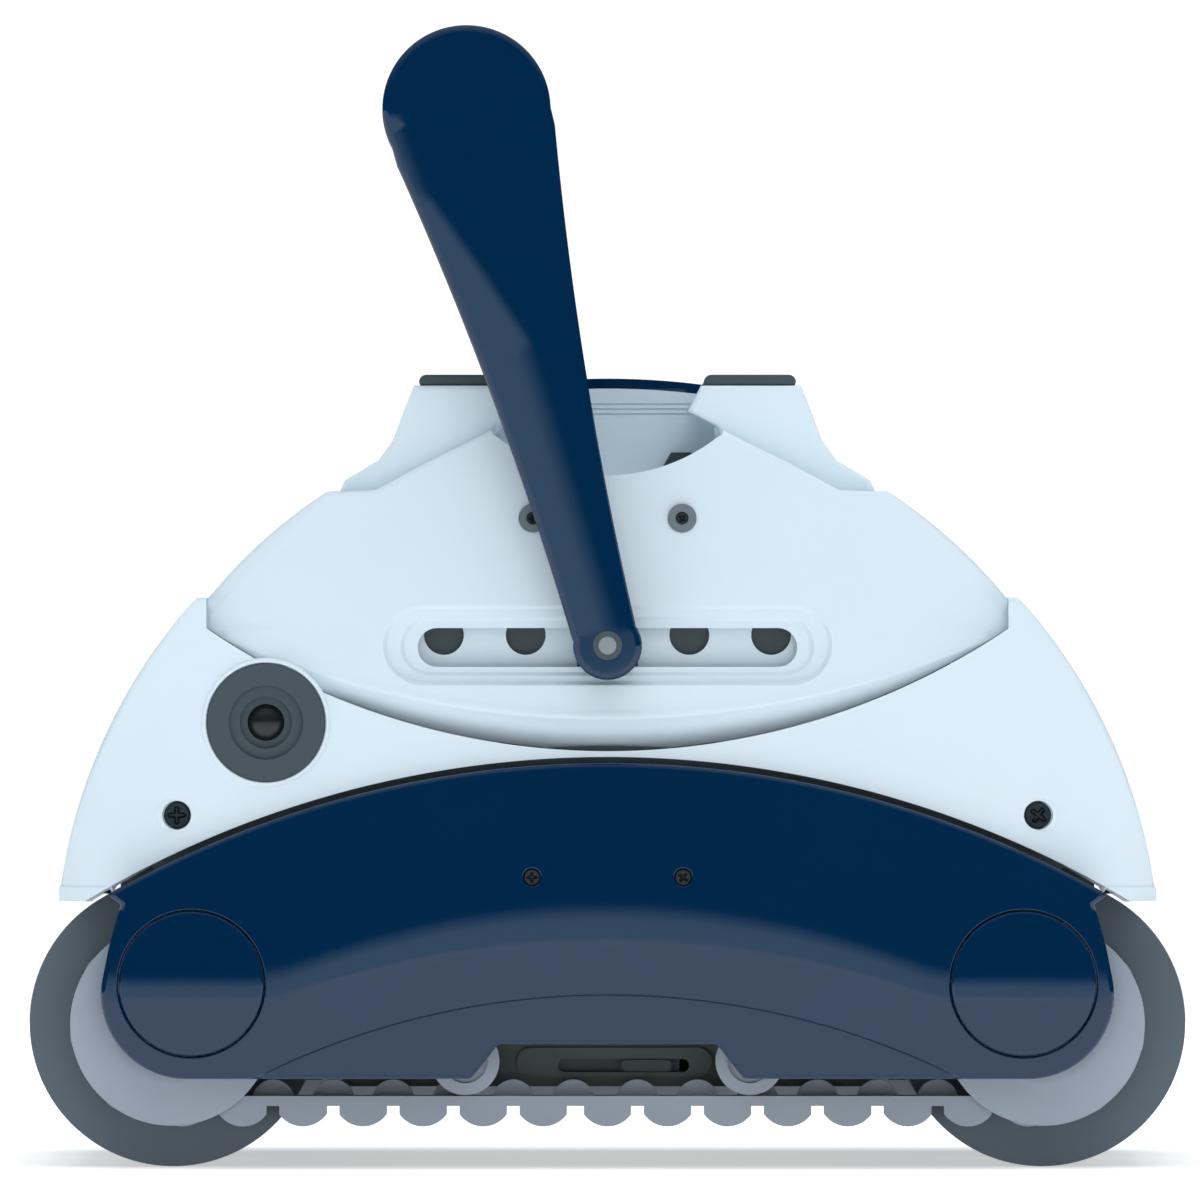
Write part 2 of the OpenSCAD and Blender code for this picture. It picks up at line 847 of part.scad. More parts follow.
// Place and turn of the belt's tension line at a distance along it, starting under the middle
function belt_at(s) =
    s < axle_x ? [s, brush_r - belt_r, 0]
    : s < axle_x + bend ? let (a = (s - axle_x) / belt_r * 180 / PI)
        [axle_x + belt_r * sin(a), brush_r - belt_r * cos(a), a]
    : s < axle_x + bend + straight ? [axle_x - (s - axle_x - bend), brush_r + belt_r, 180]
    : s < axle_x + 2 * bend + straight ? let (a = (s - axle_x - bend - straight) / belt_r * 180 / PI)
        [-axle_x - belt_r * sin(a), brush_r + belt_r * cos(a), 180 + a]
    : [-axle_x + (s - axle_x - 2 * bend - straight), brush_r - belt_r, 0];

module on_belt(s) {
    p = belt_at(s);
    translate([p[0], p[1]]) rotate(p[2]) children();
}

module belt_band() {
    half = band_t / 2;
    difference() {
        round_rect_at(belt_r + half);
        round_rect_at(belt_r - half);
    }
}

module round_rect_at(r) {
    translate([0, brush_r]) {
        square([2 * axle_x, 2 * r], center = true);
        for (s = [-1, 1]) translate([s * axle_x, 0]) circle(r = r);
    }
}

module lobe() {
    lobe_w = 17;
    lobe_r = 10.5;
    translate([-lobe_w / 2, -4.9]) square([lobe_w, 4.9]);
    intersection() {
        translate([0, -9.2 + lobe_r]) circle(r = lobe_r, $fn = 48);
        translate([-lobe_w / 2, -9.2]) square([lobe_w, 5]);
    }
}

module tooth() {
    intersection() {
        circle(r = 7.6, $fn = 48);
        translate([-8, 0]) square([16, 10]);
    }
}

module belt(side) {
    color(LIGHT_GREY) on_side(side) union() {
        plate(belt_y0, belt_y1) union() {
            belt_band();
            for (k = [0:lug_count - 1]) on_belt(k * lug_pitch) lobe();
        }
        plate(belt_y0, tooth_y1) intersection() {
            union() for (k = [0:lug_count - 1]) on_belt((k + 0.5) * lug_pitch) tooth();
            round_rect_at(belt_r);
        }
    }
}

module idler(end, side) {
    color(LIGHT_GREY) on_end(end) on_side(side) difference() {
        rod(idler_x, idler_z, idler_r, tooth_y1 + 1, belt_y1 - 0.5);
        rod(idler_x, idler_z, pin_r + fit, tooth_y1, belt_y1);
        rod(idler_x, idler_z, 8, belt_y1 - 2, belt_y1);
    }
}

module idler_pins() {
    color(STEEL) both_sides() both_ends() union() {
        rod(idler_x, idler_z, pin_r, side_y0, belt_y1 - 1);
        rod(idler_x, idler_z, 5, belt_y1 - 1.8, belt_y1 - 0.6);
    }
}

module drive_pulley(side) {
    teeth = 10;
    color(LIGHT_GREY) on_side(side) translate([0, 0, drive_z]) difference() {
        union() {
            rod(0, 0, drive_r, belt_y0 + 0.5, tooth_y1 - 0.5);
            rod(0, 0, 5, 122, belt_y0 + 1);
        }
        for (k = [0:teeth - 1]) rotate([0, k * 360 / teeth, 0]) rod(drive_r + 0.6, 0, 2, belt_y0, tooth_y1);
    }
}

// ---- Handle ----

bar_x = -arm_len * sin(lean);
bar_z = pivot_z + arm_len * cos(lean);

// Arm outline taken in by t: two circles and the straight sides that touch both
module arm_outline(t) {
    r0 = arm_end_r - t;
    r1 = arm_top_r - t;
    a = asin((r1 - r0) / arm_len);
    translate([0, pivot_z]) rotate(lean) {
        circle(r = r0);
        translate([0, arm_len]) circle(r = r1);
        polygon([
            [r0 * cos(a), -r0 * sin(a)], [r1 * cos(a), arm_len - r1 * sin(a)],
            [-r1 * cos(a), arm_len - r1 * sin(a)], [-r0 * cos(a), -r0 * sin(a)]
        ]);
    }
}

module handle_arm(side) {
    color(NAVY) on_side(side) difference() {
        union() {
            difference() {
                plate(arm_y0, arm_y1) arm_outline(0);
                plate(arm_y0 - 1, arm_y1 - 3.5) arm_outline(wall);
            }
            rod(0, pivot_z, 9.5, arm_y0, arm_y1 - 1);
            rod(bar_x, bar_z, bar_r - 1, arm_y0 + 1, arm_y1 - 1);
        }
        rod(0, pivot_z, spigot_r + fit, arm_y0 - 5, arm_y1 + 5);
    }
}

module float_bar() {
    color(NAVY) translate([bar_x, 0, bar_z]) difference() {
        rotate([90, 0, 0]) cylinder(r = bar_r, h = 2 * arm_y0, center = true);
        rotate([90, 0, 0]) cylinder(r = bar_r - 2.5, h = 2 * arm_y0 - 8, center = true);
    }
}

module float_core() {
    color(WHITE) translate([bar_x, 0, bar_z]) rotate([90, 0, 0])
        cylinder(r = bar_r - 2.7, h = 2 * arm_y0 - 9, center = true);
}

// Block that slides in the slot and carries the handle's pivot
module pivot_carriages() {
    color(DARK_GREY) both_sides() difference() {
        union() {
            plate(173.2, 175.7) translate([0, slot_z]) square([22, 19], center = true);
            plate(175.5, 186) translate([0, slot_z]) oval(18, slot_w - 0.6);
            rod(0, pivot_z, 6.2, 185.5, 189.7);
            rod(0, pivot_z, spigot_r, 189, arm_y1 - 0.2);
        }
        rod(0, pivot_z, pivot_pin_r + fit, 170, 210);
    }
}

module pivot_pins() {
    color(STEEL) both_sides() rod(0, pivot_z, pivot_pin_r, 173.2, arm_y1 - 0.1);
}

base_frame();
lower_skirt();
upper_shell();
turret();
outlet_grille();
top_pads();
side_panel(-1);  // side_panel_right
side_panel(1);  // side_panel_left
hub_caps();
panel_screws();
skirt_screws();
wall_screws();
wall_bushes();
notch_plates();
cable_gland();
gland_nut();
bumper_rings();
motor_unit();
motor_seal();
motor_cover();
duct_tube();
filter_panel(1);  // filter_panel_front
filter_panel(-1);  // filter_panel_rear
belt(-1);  // belt_right
belt(1);  // belt_left
idler_pins();
axle_bushes();
lid_hinge_pins();
wheel(1, -1);  // wheel_front_right
wheel(1, 1);  // wheel_front_left
wheel(-1, -1);  // wheel_rear_right
wheel(-1, 1);  // wheel_rear_left
brush_core(1, -1);  // brush_core_front_right
brush_core(1, 1);  // brush_core_front_left
brush_core(-1, -1);  // brush_core_rear_right
brush_core(-1, 1);  // brush_core_rear_left
brush_sleeve(1, -1);  // brush_sleeve_front_right
brush_sleeve(1, 1);  // brush_sleeve_front_left
brush_sleeve(-1, -1);  // brush_sleeve_rear_right
brush_sleeve(-1, 1);  // brush_sleeve_rear_left
idler(1, -1);  // idler_front_right
idler(1, 1);  // idler_front_left
idler(-1, -1);  // idler_rear_right
idler(-1, 1);  // idler_rear_left
drive_pulley(-1);  // drive_pulley_right
drive_pulley(1);  // drive_pulley_left
impeller();
filter_lid();
inlet_flap(1);  // inlet_flap_front
inlet_flap(-1);  // inlet_flap_rear
lid_latch();
pivot_carriages();
pivot_pins();
handle_arm(-1);  // handle_arm_right
handle_arm(1);  // handle_arm_left
float_bar();
float_core();
bumper_ball(-1);  // bumper_ball_right
bumper_ball(1);  // bumper_ball_left
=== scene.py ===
"""Looks of a twin-track pool cleaning robot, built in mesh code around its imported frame.

Lengths are written in millimetres and turned to metres where a mesh is made. X runs along the robot, Y across it and
Z up. The near side is the right-hand one, at -Y. Each sub-assembly is a class: its sizes are fields, and its methods
build its meshes, dress them and hand them to the CAD body that carries them.
"""

from __future__ import annotations

import json
import logging
import math
from collections.abc import Callable, Sequence
from dataclasses import dataclass, field
from enum import Enum
from typing import Any

import bpy
import numpy as np
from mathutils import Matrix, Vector
from mathutils.geometry import delaunay_2d_cdt


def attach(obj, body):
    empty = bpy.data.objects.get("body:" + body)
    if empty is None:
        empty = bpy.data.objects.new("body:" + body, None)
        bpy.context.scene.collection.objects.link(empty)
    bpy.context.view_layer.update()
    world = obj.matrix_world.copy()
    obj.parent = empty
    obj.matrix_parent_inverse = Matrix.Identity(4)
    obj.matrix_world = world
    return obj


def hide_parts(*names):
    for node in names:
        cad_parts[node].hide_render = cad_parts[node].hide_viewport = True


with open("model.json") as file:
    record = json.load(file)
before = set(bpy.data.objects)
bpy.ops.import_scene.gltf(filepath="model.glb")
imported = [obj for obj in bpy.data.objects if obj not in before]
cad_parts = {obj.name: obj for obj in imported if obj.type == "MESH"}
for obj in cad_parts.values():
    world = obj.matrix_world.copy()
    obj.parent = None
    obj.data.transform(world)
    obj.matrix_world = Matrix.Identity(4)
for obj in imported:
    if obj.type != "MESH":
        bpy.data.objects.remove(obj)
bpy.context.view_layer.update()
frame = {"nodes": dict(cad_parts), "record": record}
MM = 0.001
WELD_MM = 0.002  # points closer than this are made one
LOG = logging.getLogger("pool_cleaner")

Loop = np.ndarray  # (n, 2) points in the X-Z plane, closed, in millimetres
Height = Callable[[np.ndarray], np.ndarray]  # distance out from the middle plane at (n, 2) points


class Side(Enum):
    """The two long sides of the robot, by the sign of Y."""

    RIGHT = -1
    LEFT = 1

    @property
    def word(self) -> str:
        """The side's name in node names."""
        return self.name.lower()


# ---------------------------------------------------------------------------------------------- finishes


def linear(code: str) -> tuple[float, float, float, float]:
    """Turns an sRGB hex colour into a linear one.

    Args:
        code: Six hex digits after a hash.

    Returns:
        Linear red, green and blue, with an alpha of 1.
    """
    parts = [int(code[i : i + 2], 16) / 255 for i in (1, 3, 5)]
    low = [c / 12.92 if c <= 0.04045 else ((c + 0.055) / 1.055) ** 2.4 for c in parts]
    return (low[0], low[1], low[2], 1.0)


def add_node(tree: bpy.types.NodeTree, kind: str, links: dict[str, Any] | None = None, **settings: Any) -> Any:
    """Adds a node to a tree.

    Args:
        tree: Shader or geometry tree that gets the node.
        kind: Blender's name of the node type.
        links: Output sockets to join, by the name or number of the new node's input.
        settings: The node's own properties, and values of its inputs by name.

    Returns:
        The new node.
    """
    node = tree.nodes.new(kind)
    for name, value in settings.items():
        if hasattr(node, name) and name not in node.inputs:
            setattr(node, name, value)
        else:
            node.inputs[name.replace("_", " ") if name not in node.inputs else name].default_value = value
    for key, socket in (links or {}).items():
        tree.links.new(socket, node.inputs[key])
    return node


@dataclass(frozen=True)
class Finish:
    """A surface finish, drawn from the real material and how its surface was made."""

    name: str
    colour: str
    second: str
    roughness: float
    ior: float = 1.5
    metallic: float = 0.0
    mottle_mm: float = 60.0
    grain_mm: float = 0.8
    grain_depth_mm: float = 0.004
    wave_mm: float = 0.0
    wave_depth_mm: float = 0.0
    rough_swing: float = 0.05

    def material(self) -> bpy.types.Material:
        """Builds the material once and returns it after that.

        Returns:
            A node material on Object coordinates, so its patterns keep their real size.
        """
        found = bpy.data.materials.get(self.name)
        if found:
            return found
        made = bpy.data.materials.new(self.name)
        made.use_nodes = True
        tree = made.node_tree
        tree.nodes.clear()
        place = add_node(tree, "ShaderNodeTexCoord").outputs["Object"]
        mottle = add_node(
            tree, "ShaderNodeTexNoise", {"Vector": place}, Scale=1000 / self.mottle_mm, Detail=3.0, Roughness=0.55
        )
        tint = add_node(tree, "ShaderNodeMix", {"Factor": mottle.outputs["Fac"]}, data_type="RGBA")
        tint.inputs[6].default_value = linear(self.colour)
        tint.inputs[7].default_value = linear(self.second)
        grain = add_node(
            tree, "ShaderNodeTexNoise", {"Vector": place}, Scale=1000 / self.grain_mm, Detail=2.0, Roughness=0.5
        )
        gloss = add_node(tree, "ShaderNodeMapRange", {"Value": mottle.outputs["Fac"]})
        gloss.inputs["From Min"].default_value = 0.3
        gloss.inputs["From Max"].default_value = 0.7
        gloss.inputs["To Min"].default_value = self.roughness
        gloss.inputs["To Max"].default_value = self.roughness + self.rough_swing
        bump = add_node(
            tree,
            "ShaderNodeBump",
            {"Height": grain.outputs["Fac"]},
            Strength=1.0,
            Distance=self.grain_depth_mm * MM,
        )
        if self.wave_mm:
            wave = add_node(tree, "ShaderNodeTexNoise", {"Vector": place}, Scale=1000 / self.wave_mm, Detail=0.0)
            bump = add_node(
                tree,
                "ShaderNodeBump",
                {"Height": wave.outputs["Fac"], "Normal": bump.outputs["Normal"]},
                Strength=1.0,
                Distance=self.wave_depth_mm * MM,
            )
        shader = add_node(
            tree,
            "ShaderNodeBsdfPrincipled",
            {"Base Color": tint.outputs[2], "Roughness": gloss.outputs["Result"], "Normal": bump.outputs["Normal"]},
            Metallic=self.metallic,
            IOR=self.ior,
        )
        add_node(tree, "ShaderNodeOutputMaterial", {"Surface": shader.outputs["BSDF"]})
        return made


# Gloss ABS, injection moulded in a polished tool: an even cool white with a soft shine and hardly any grain.
WHITE_ABS = Finish("white moulded ABS", "#dbe9f2", "#e3eef6", 0.32, grain_mm=1.2, grain_depth_mm=0.002)
# The same moulding in dark blue: a near-mirror skin over a deep colour, with the faint flow waves of the tool.
NAVY_ABS = Finish(
    "navy gloss moulded ABS", "#01294b", "#012647", 0.025, rough_swing=0.015, grain_depth_mm=0.0006,
    wave_mm=35, wave_depth_mm=0.006,
)
# Injection-moulded rubber: matt, nearly black grey, with a fine pebbled grain.
DARK_RUBBER = Finish("dark moulded rubber", "#3b484f", "#434f55", 0.62, grain_mm=0.9, grain_depth_mm=0.03)
# Filled polypropylene: a dull olive grey with the light texture of an etched tool.
OLIVE_PP = Finish("olive filled polypropylene", "#495251", "#525b59", 0.5, grain_mm=0.7, grain_depth_mm=0.02)
# Nylon wheels and pulleys: light blue-grey, semi-matt, slightly waxy.
GREY_NYLON = Finish("grey moulded nylon", "#9aa4b1", "#a3acb8", 0.42, grain_mm=0.9, grain_depth_mm=0.008)
# Thermoplastic belt rubber: light grey, matt, smooth from use.
BELT_RUBBER = Finish("grey belt rubber", "#959da9", "#9fa7b2", 0.55, grain_mm=0.8, grain_depth_mm=0.015)
# Soft brush rubber (PVC): mid grey, matt, wiped smooth on its rims.
BRUSH_RUBBER = Finish("grey brush rubber", "#56616b", "#5f6a73", 0.6, grain_mm=1.1, grain_depth_mm=0.03)
# Glass-filled nylon for small dark parts. The same dark finish also paints the shade seen through the handle slots and
# the arch gap, on the liner strips.
DARK_NYLON_AND_SHADE = Finish("dark glass-filled nylon", "#3d464b", "#454e53", 0.5, grain_mm=0.6, grain_depth_mm=0.01)
# Screws of blackened steel: dark metal with a satin skin.
BLACK_STEEL = Finish("blackened steel", "#2c3338", "#353c41", 0.38, metallic=0.7, grain_mm=0.5, grain_depth_mm=0.004)
# Turned stainless pins, bright with fine tool marks.
STAINLESS = Finish(
    "turned stainless steel", "#a9adb0", "#b6babc", 0.28, metallic=1.0, grain_mm=0.5, grain_depth_mm=0.003
)
# Grey ABS of the inner housings.
GREY_ABS = Finish("grey moulded ABS", "#8f98a0", "#98a1a8", 0.4)
# Pleated polyester mesh of the filter panels.
FILTER_MESH = Finish("polyester filter mesh", "#c9ced0", "#b9c0c4", 0.75, grain_mm=0.6, grain_depth_mm=0.08)
# Closed-cell foam inside the float.
FLOAT_FOAM = Finish("closed-cell foam", "#e6e4dc", "#dcd9cf", 0.85, grain_mm=1.5, grain_depth_mm=0.1)
# Near-black nylon bumper balls with a soft shine.
BLACK_NYLON = Finish("black nylon", "#0e1216", "#14181c", 0.3, grain_mm=0.8, grain_depth_mm=0.003)

SLOT_FINISH: dict[str, Finish] = {
    "white_abs": WHITE_ABS,
    "navy_abs": NAVY_ABS,
    "dark_rubber": DARK_RUBBER,
    "olive_polypropylene": OLIVE_PP,
    "grey_nylon": GREY_NYLON,
    "grey_belt_rubber": BELT_RUBBER,
    "brush_rubber": BRUSH_RUBBER,
    "dark_nylon": DARK_NYLON_AND_SHADE,
    "black_steel": BLACK_STEEL,
    "stainless_steel": STAINLESS,
    "grey_abs": GREY_ABS,
    "filter_mesh": FILTER_MESH,
    "float_foam": FLOAT_FOAM,
    "black_nylon": BLACK_NYLON,
}

# Nodes whose visible moulding differs from the rest of its slot.
NODE_FINISH: dict[str, Finish] = {
    "wall_bushes": Finish("mid-grey moulded nylon", "#68737a", "#717c83", 0.5, grain_mm=0.6, grain_depth_mm=0.01),
}


# ------------------------------------------------------------------------------------------- plane figures


def arc(cx: float, cz: float, r: float, a0: float, a1: float, step: float = 1.5) -> Loop:
    """Samples a circular arc in the X-Z plane.

    Args:
        cx: Centre along X.
        cz: Centre along Z.
        r: Radius.
        a0: First angle in degrees, from +X towards +Z.
        a1: Last angle in degrees.
        step: Largest distance between points.

    Returns:
        The points, with both ends.
    """
    count = max(4, math.ceil(abs(math.radians(a1 - a0)) * r / step))
    a = np.radians(np.linspace(a0, a1, count + 1))
    return np.stack([cx + r * np.cos(a), cz + r * np.sin(a)], 1)


def circle(cx: float, cz: float, r: float, count: int = 64) -> Loop:
    """Samples a full circle."""
    return arc(cx, cz, r, 0, 360, 2 * math.pi * r / count)[:-1]


def oval(cx: float, cz: float, length: float, width: float, grow: float = 0.0) -> Loop:
    """Samples a slot with round ends, grown all round by a distance.

    Args:
        cx: Middle along X.
        cz: Middle along Z.
        length: Length over the round ends.
        width: Width across.
        grow: Distance added all round.

    Returns:
        A closed loop.
    """
    r = width / 2 + grow
    run = (length - width) / 2
    right = arc(cx + run, cz, r, -90, 90, 1.0)
    left = arc(cx - run, cz, r, 90, 270, 1.0)
    return dense(np.concatenate([right, left]), 4.0)


def dense(line: Loop, step: float, closed: bool = True) -> Loop:
    """Adds points along the long stretches of a line.

    Args:
        line: Points of the line.
        step: Largest distance wanted between points.
        closed: Whether the last point joins the first.

    Returns:
        The line with the added points.
    """
    ends = np.roll(line, -1, 0) if closed else line[1:]
    made = []
    for a, b in zip(line, ends, strict=False):
        count = max(1, math.ceil(float(np.linalg.norm(b - a)) / step))
        made.append(a + (b - a) * np.linspace(0, 1, count, endpoint=False)[:, None])
    if not closed:
        made.append(line[-1:])
    return np.concatenate(made)


def distance(points: np.ndarray, line: Loop, closed: bool = True) -> np.ndarray:
    """Finds how far points lie from a line.

    Args:
        points: (n, 2) points.
        line: Points of the line.
        closed: Whether the line is a loop.

    Returns:
        (n,) distances.
    """
    a = line if closed else line[:-1]
    d = (np.roll(line, -1, 0) if closed else line[1:]) - a
    best = np.full(len(points), np.inf)
    for start, run in zip(a, d, strict=True):
        off = points - start
        t = np.clip(off @ run / max(float(run @ run), 1e-12), 0, 1)
        best = np.minimum(best, np.hypot(*(off - t[:, None] * run).T))
    return best


def inside(points: np.ndarray, loop: Loop) -> np.ndarray:
    """Tells which points lie inside a closed loop.

    Args:
        points: (n, 2) points.
        loop: The closed loop.

    Returns:
        One truth value a point.
    """
    x, z = points[:, 0], points[:, 1]
    found = np.zeros(len(points), bool)
    for (x0, z0), (x1, z1) in zip(loop, np.roll(loop, -1, 0), strict=True):
        if z0 == z1:
            continue
        crosses = (z0 > z) != (z1 > z)
        found ^= crosses & (x < (x1 - x0) * (z - z0) / (z1 - z0) + x0)
    return found


def offset(loop: Loop, by: float) -> Loop:
    """Moves each point of a loop inwards along the loop's normal there.

    Args:
        loop: Closed loop, wound either way.
        by: Distance inwards, or outwards if it is negative.

    Returns:
        The moved loop, with as many points.
    """
    ahead, behind = np.roll(loop, -1, 0) - loop, loop - np.roll(loop, 1, 0)
    ahead /= np.linalg.norm(ahead, axis=1, keepdims=True)
    behind /= np.linalg.norm(behind, axis=1, keepdims=True)
    area = np.sum(loop[:, 0] * np.roll(loop[:, 1], -1) - loop[:, 1] * np.roll(loop[:, 0], -1))
    turn = 1.0 if area > 0 else -1.0
    n = turn * np.stack([-(ahead + behind)[:, 1], (ahead + behind)[:, 0]], 1)
    size = np.linalg.norm(n, axis=1, keepdims=True)
    n /= size
    miter = 1 / np.clip(size[:, 0] / 2, 0.5, 1)
    return loop + n * (by * miter)[:, None]


def fill(
    outline: Loop,
    holes: Sequence[Loop] = (),
    rings: Sequence[Loop] = (),
    spacing: float = 5.0,
    columns: np.ndarray | None = None,
) -> tuple[np.ndarray, np.ndarray]:
    """Fills a figure with triangles whose edges follow its outline, its holes and its rings.

    Args:
        outline: Outer loop.
        holes: Loops whose insides stay empty.
        rings: More closed lines that the edges follow.
        spacing: Distance between the points inside.
        columns: X of each column of inner points, if not evenly spaced.

    Returns:
        (n, 2) points and (m, 3) corners, wound so that the side towards -Y is outside.
    """
    loops = [outline, *holes, *rings]
    low, high = outline.min(0), outline.max(0)
    xs = np.arange(low[0], high[0], spacing) if columns is None else columns
    made = []
    for k, x in enumerate(xs):
        z = np.arange(low[1] + (k % 2) * spacing / 2, high[1], spacing * 0.87)
        made.append(np.stack([np.full(len(z), x), z], 1))
    inner = np.concatenate(made)
    inner = inner[inside(inner, outline)]
    near = np.min([distance(inner, loop) for loop in loops], 0)
    inner = inner[near > spacing * 0.35]
    coords, edges = [], []
    for loop in loops:
        first = len(coords)
        coords += [Vector(p) for p in loop.tolist()]
        edges += [(first + i, first + (i + 1) % len(loop)) for i in range(len(loop))]
    coords += [Vector(p) for p in inner.tolist()]
    points, _, faces, *_ = delaunay_2d_cdt(coords, edges, [], 0, 1e-6)
    points = np.array([tuple(p) for p in points])
    faces = np.array([f for f in faces if len(f) == 3], int)
    middle = points[faces].mean(1)
    keep = inside(middle, outline)
    for hole in holes:
        keep &= ~inside(middle, hole)
    faces = faces[keep]
    a, b, c = (points[faces[:, i]] for i in range(3))
    area = (b[:, 0] - a[:, 0]) * (c[:, 1] - a[:, 1]) - (b[:, 1] - a[:, 1]) * (c[:, 0] - a[:, 0])
    faces = faces[np.abs(area) > 1e-9]
    area = area[np.abs(area) > 1e-9]
    faces[area < 0] = faces[area < 0][:, ::-1]
    return points, faces


# ------------------------------------------------------------------------------------------------ meshes


@dataclass
class Patchwork:
    """Patches of triangles that are gathered into one mesh. A normal of zero leaves the shading to the faces."""

    points: list[np.ndarray] = field(default_factory=list)
    normals: list[np.ndarray] = field(default_factory=list)
    faces: list[np.ndarray] = field(default_factory=list)
    size: int = 0

    def add(self, points: np.ndarray, faces: np.ndarray, normals: np.ndarray | None = None) -> None:
        """Adds a patch.

        Args:
            points: (n, 3) points in millimetres.
            faces: (m, 3) corners.
            normals: (n, 3) normals, or None to shade by the faces.
        """
        self.points.append(points)
        self.normals.append(np.zeros_like(points) if normals is None else normals)
        self.faces.append(faces + self.size)
        self.size += len(points)

    def grid(
        self, points: np.ndarray, normals: np.ndarray | None = None, flip: bool = False, loop: bool = False
    ) -> None:
        """Adds a patch laid out in rows and columns.

        Args:
            points: (rows, columns, 3) points.
            normals: As many normals, or None.
            flip: Whether to turn the faces round.
            loop: Whether the last row joins the first.
        """
        rows, columns = points.shape[:2]
        index = np.arange(rows * columns).reshape(rows, columns)
        if loop:
            index = np.concatenate([index, index[:1]])
        a, b, c, d = index[:-1, :-1], index[1:, :-1], index[1:, 1:], index[:-1, 1:]
        faces = np.concatenate([np.stack([a, b, c], -1).reshape(-1, 3), np.stack([a, c, d], -1).reshape(-1, 3)])
        if flip:
            faces = faces[:, ::-1]
        self.add(points.reshape(-1, 3), faces, None if normals is None else normals.reshape(-1, 3))

    def twin(self, scale: tuple[float, float, float]) -> None:
        """Adds a mirrored or half-turned copy of all that is here.

        Args:
            scale: Sign of each axis. An odd number of minus signs turns the faces round.
        """
        p, n, f = np.concatenate(self.points), np.concatenate(self.normals), np.concatenate(self.faces)
        s = np.array(scale)
        self.add(p * s, f[:, ::-1] if s.prod() < 0 else f, n * s)

    def mirrored(self) -> Patchwork:
        """Returns the same patches on the other side of the middle plane."""
        s = np.array([1.0, -1.0, 1.0])
        return Patchwork([p * s for p in self.points], [n * s for n in self.normals],
                         [f[:, ::-1] for f in self.faces], self.size)

    def thicken(self, by: float) -> None:
        """Turns the open skin into a closed wall, growing inwards.

        Args:
            by: Wall thickness.
        """
        p, n, f = np.concatenate(self.points), np.concatenate(self.normals), np.concatenate(self.faces)
        keys = np.unique(np.round(p / 0.002).astype(np.int64), axis=0, return_inverse=True)[1].ravel()
        mean = np.zeros((keys.max() + 1, 3))
        np.add.at(mean, keys, n)
        inner = p - by * (mean / np.maximum(np.linalg.norm(mean, axis=1, keepdims=True), 1e-9))[keys]
        self.add(inner, f[:, ::-1], -n)
        welded = keys[f]
        sides = np.concatenate([welded[:, [0, 1]], welded[:, [1, 2]], welded[:, [2, 0]]])
        raw = np.concatenate([f[:, [0, 1]], f[:, [1, 2]], f[:, [2, 0]]])
        _, where, uses = np.unique(np.sort(sides, 1), axis=0, return_inverse=True, return_counts=True)
        free = raw[(uses[where.ravel()] == 1) & (sides[:, 0] != sides[:, 1])]
        count = len(free)
        rim = np.concatenate([p[free[:, 0]], p[free[:, 1]], inner[free[:, 0]], inner[free[:, 1]]])
        i = np.arange(count)
        self.add(rim, np.concatenate([np.stack([i + count, i, i + 2 * count], 1),
                                      np.stack([i + count, i + 2 * count, i + 3 * count], 1)]))

    def build(self, name: str, finish: Finish, sharp: float = 32.0) -> bpy.types.Object:
        """Welds the patches into one mesh object.

        Args:
            name: Name of the piece.
            finish: Finish of the whole piece.
            sharp: Angle in degrees past which an edge is shaded sharp.

        Returns:
            The object, at the origin, with its place in its mesh.
        """
        p, n, f = np.concatenate(self.points), np.concatenate(self.normals), np.concatenate(self.faces)
        cells = np.round(p / WELD_MM).astype(np.int64)
        _, first, index = np.unique(cells, axis=0, return_index=True, return_inverse=True)
        index = index.ravel()
        welded = index[f]
        good = (welded[:, 0] != welded[:, 1]) & (welded[:, 1] != welded[:, 2]) & (welded[:, 2] != welded[:, 0])
        _, once = np.unique(np.sort(welded, 1), axis=0, return_index=True)
        only = np.zeros(len(f), bool)
        only[once] = True
        good &= only
        mesh = bpy.data.meshes.new(name)
        mesh.from_pydata((p[first] * MM).tolist(), [], welded[good].tolist())
        mesh.shade_smooth()
        mesh.set_sharp_from_angle(angle=math.radians(sharp))
        if np.abs(n).max() > 0:
            loops = n[f[good]].reshape(-1, 3)
            size = np.linalg.norm(loops, axis=1, keepdims=True)
            mesh.normals_split_custom_set((loops / np.maximum(size, 1e-9)).tolist())
        mesh.materials.append(finish.material())
        made = bpy.data.objects.new(name, mesh)
        bpy.context.scene.collection.objects.link(made)
        return made


def slope(height: Height, points: np.ndarray, step: float = 0.02) -> np.ndarray:
    """Outward unit normals of a relief on the near side, from the height's own slope.

    Args:
        height: Distance out from the middle plane.
        points: (n, 2) points.
        step: Half the distance over which the slope is taken.

    Returns:
        (n, 3) unit normals.
    """
    dx, dz = np.array([step, 0.0]), np.array([0.0, step])
    hx = (height(points + dx) - height(points - dx)) / (2 * step)
    hz = (height(points + dz) - height(points - dz)) / (2 * step)
    n = np.stack([-hx, -np.ones_like(hx), -hz], 1)
    return n / np.linalg.norm(n, axis=1, keepdims=True)


def raised(height: Height, points: np.ndarray) -> np.ndarray:
    """Places X-Z points on a relief of the near side."""
    return np.stack([points[:, 0], -height(points), points[:, 1]], 1)


def rolled(d: np.ndarray, r: float) -> np.ndarray:
    """Drop of a rounded edge of radius r at a distance d in from it."""
    short = np.clip(r - d, 0, r)
    return r - np.sqrt(np.maximum(r * r - short * short, 0))


def step_down(d: np.ndarray, width: float) -> np.ndarray:
    """Smooth step from 0 to 1 as d goes from 0 to width."""
    t = np.clip(d / width, 0, 1)
    return t * t * (3 - 2 * t)


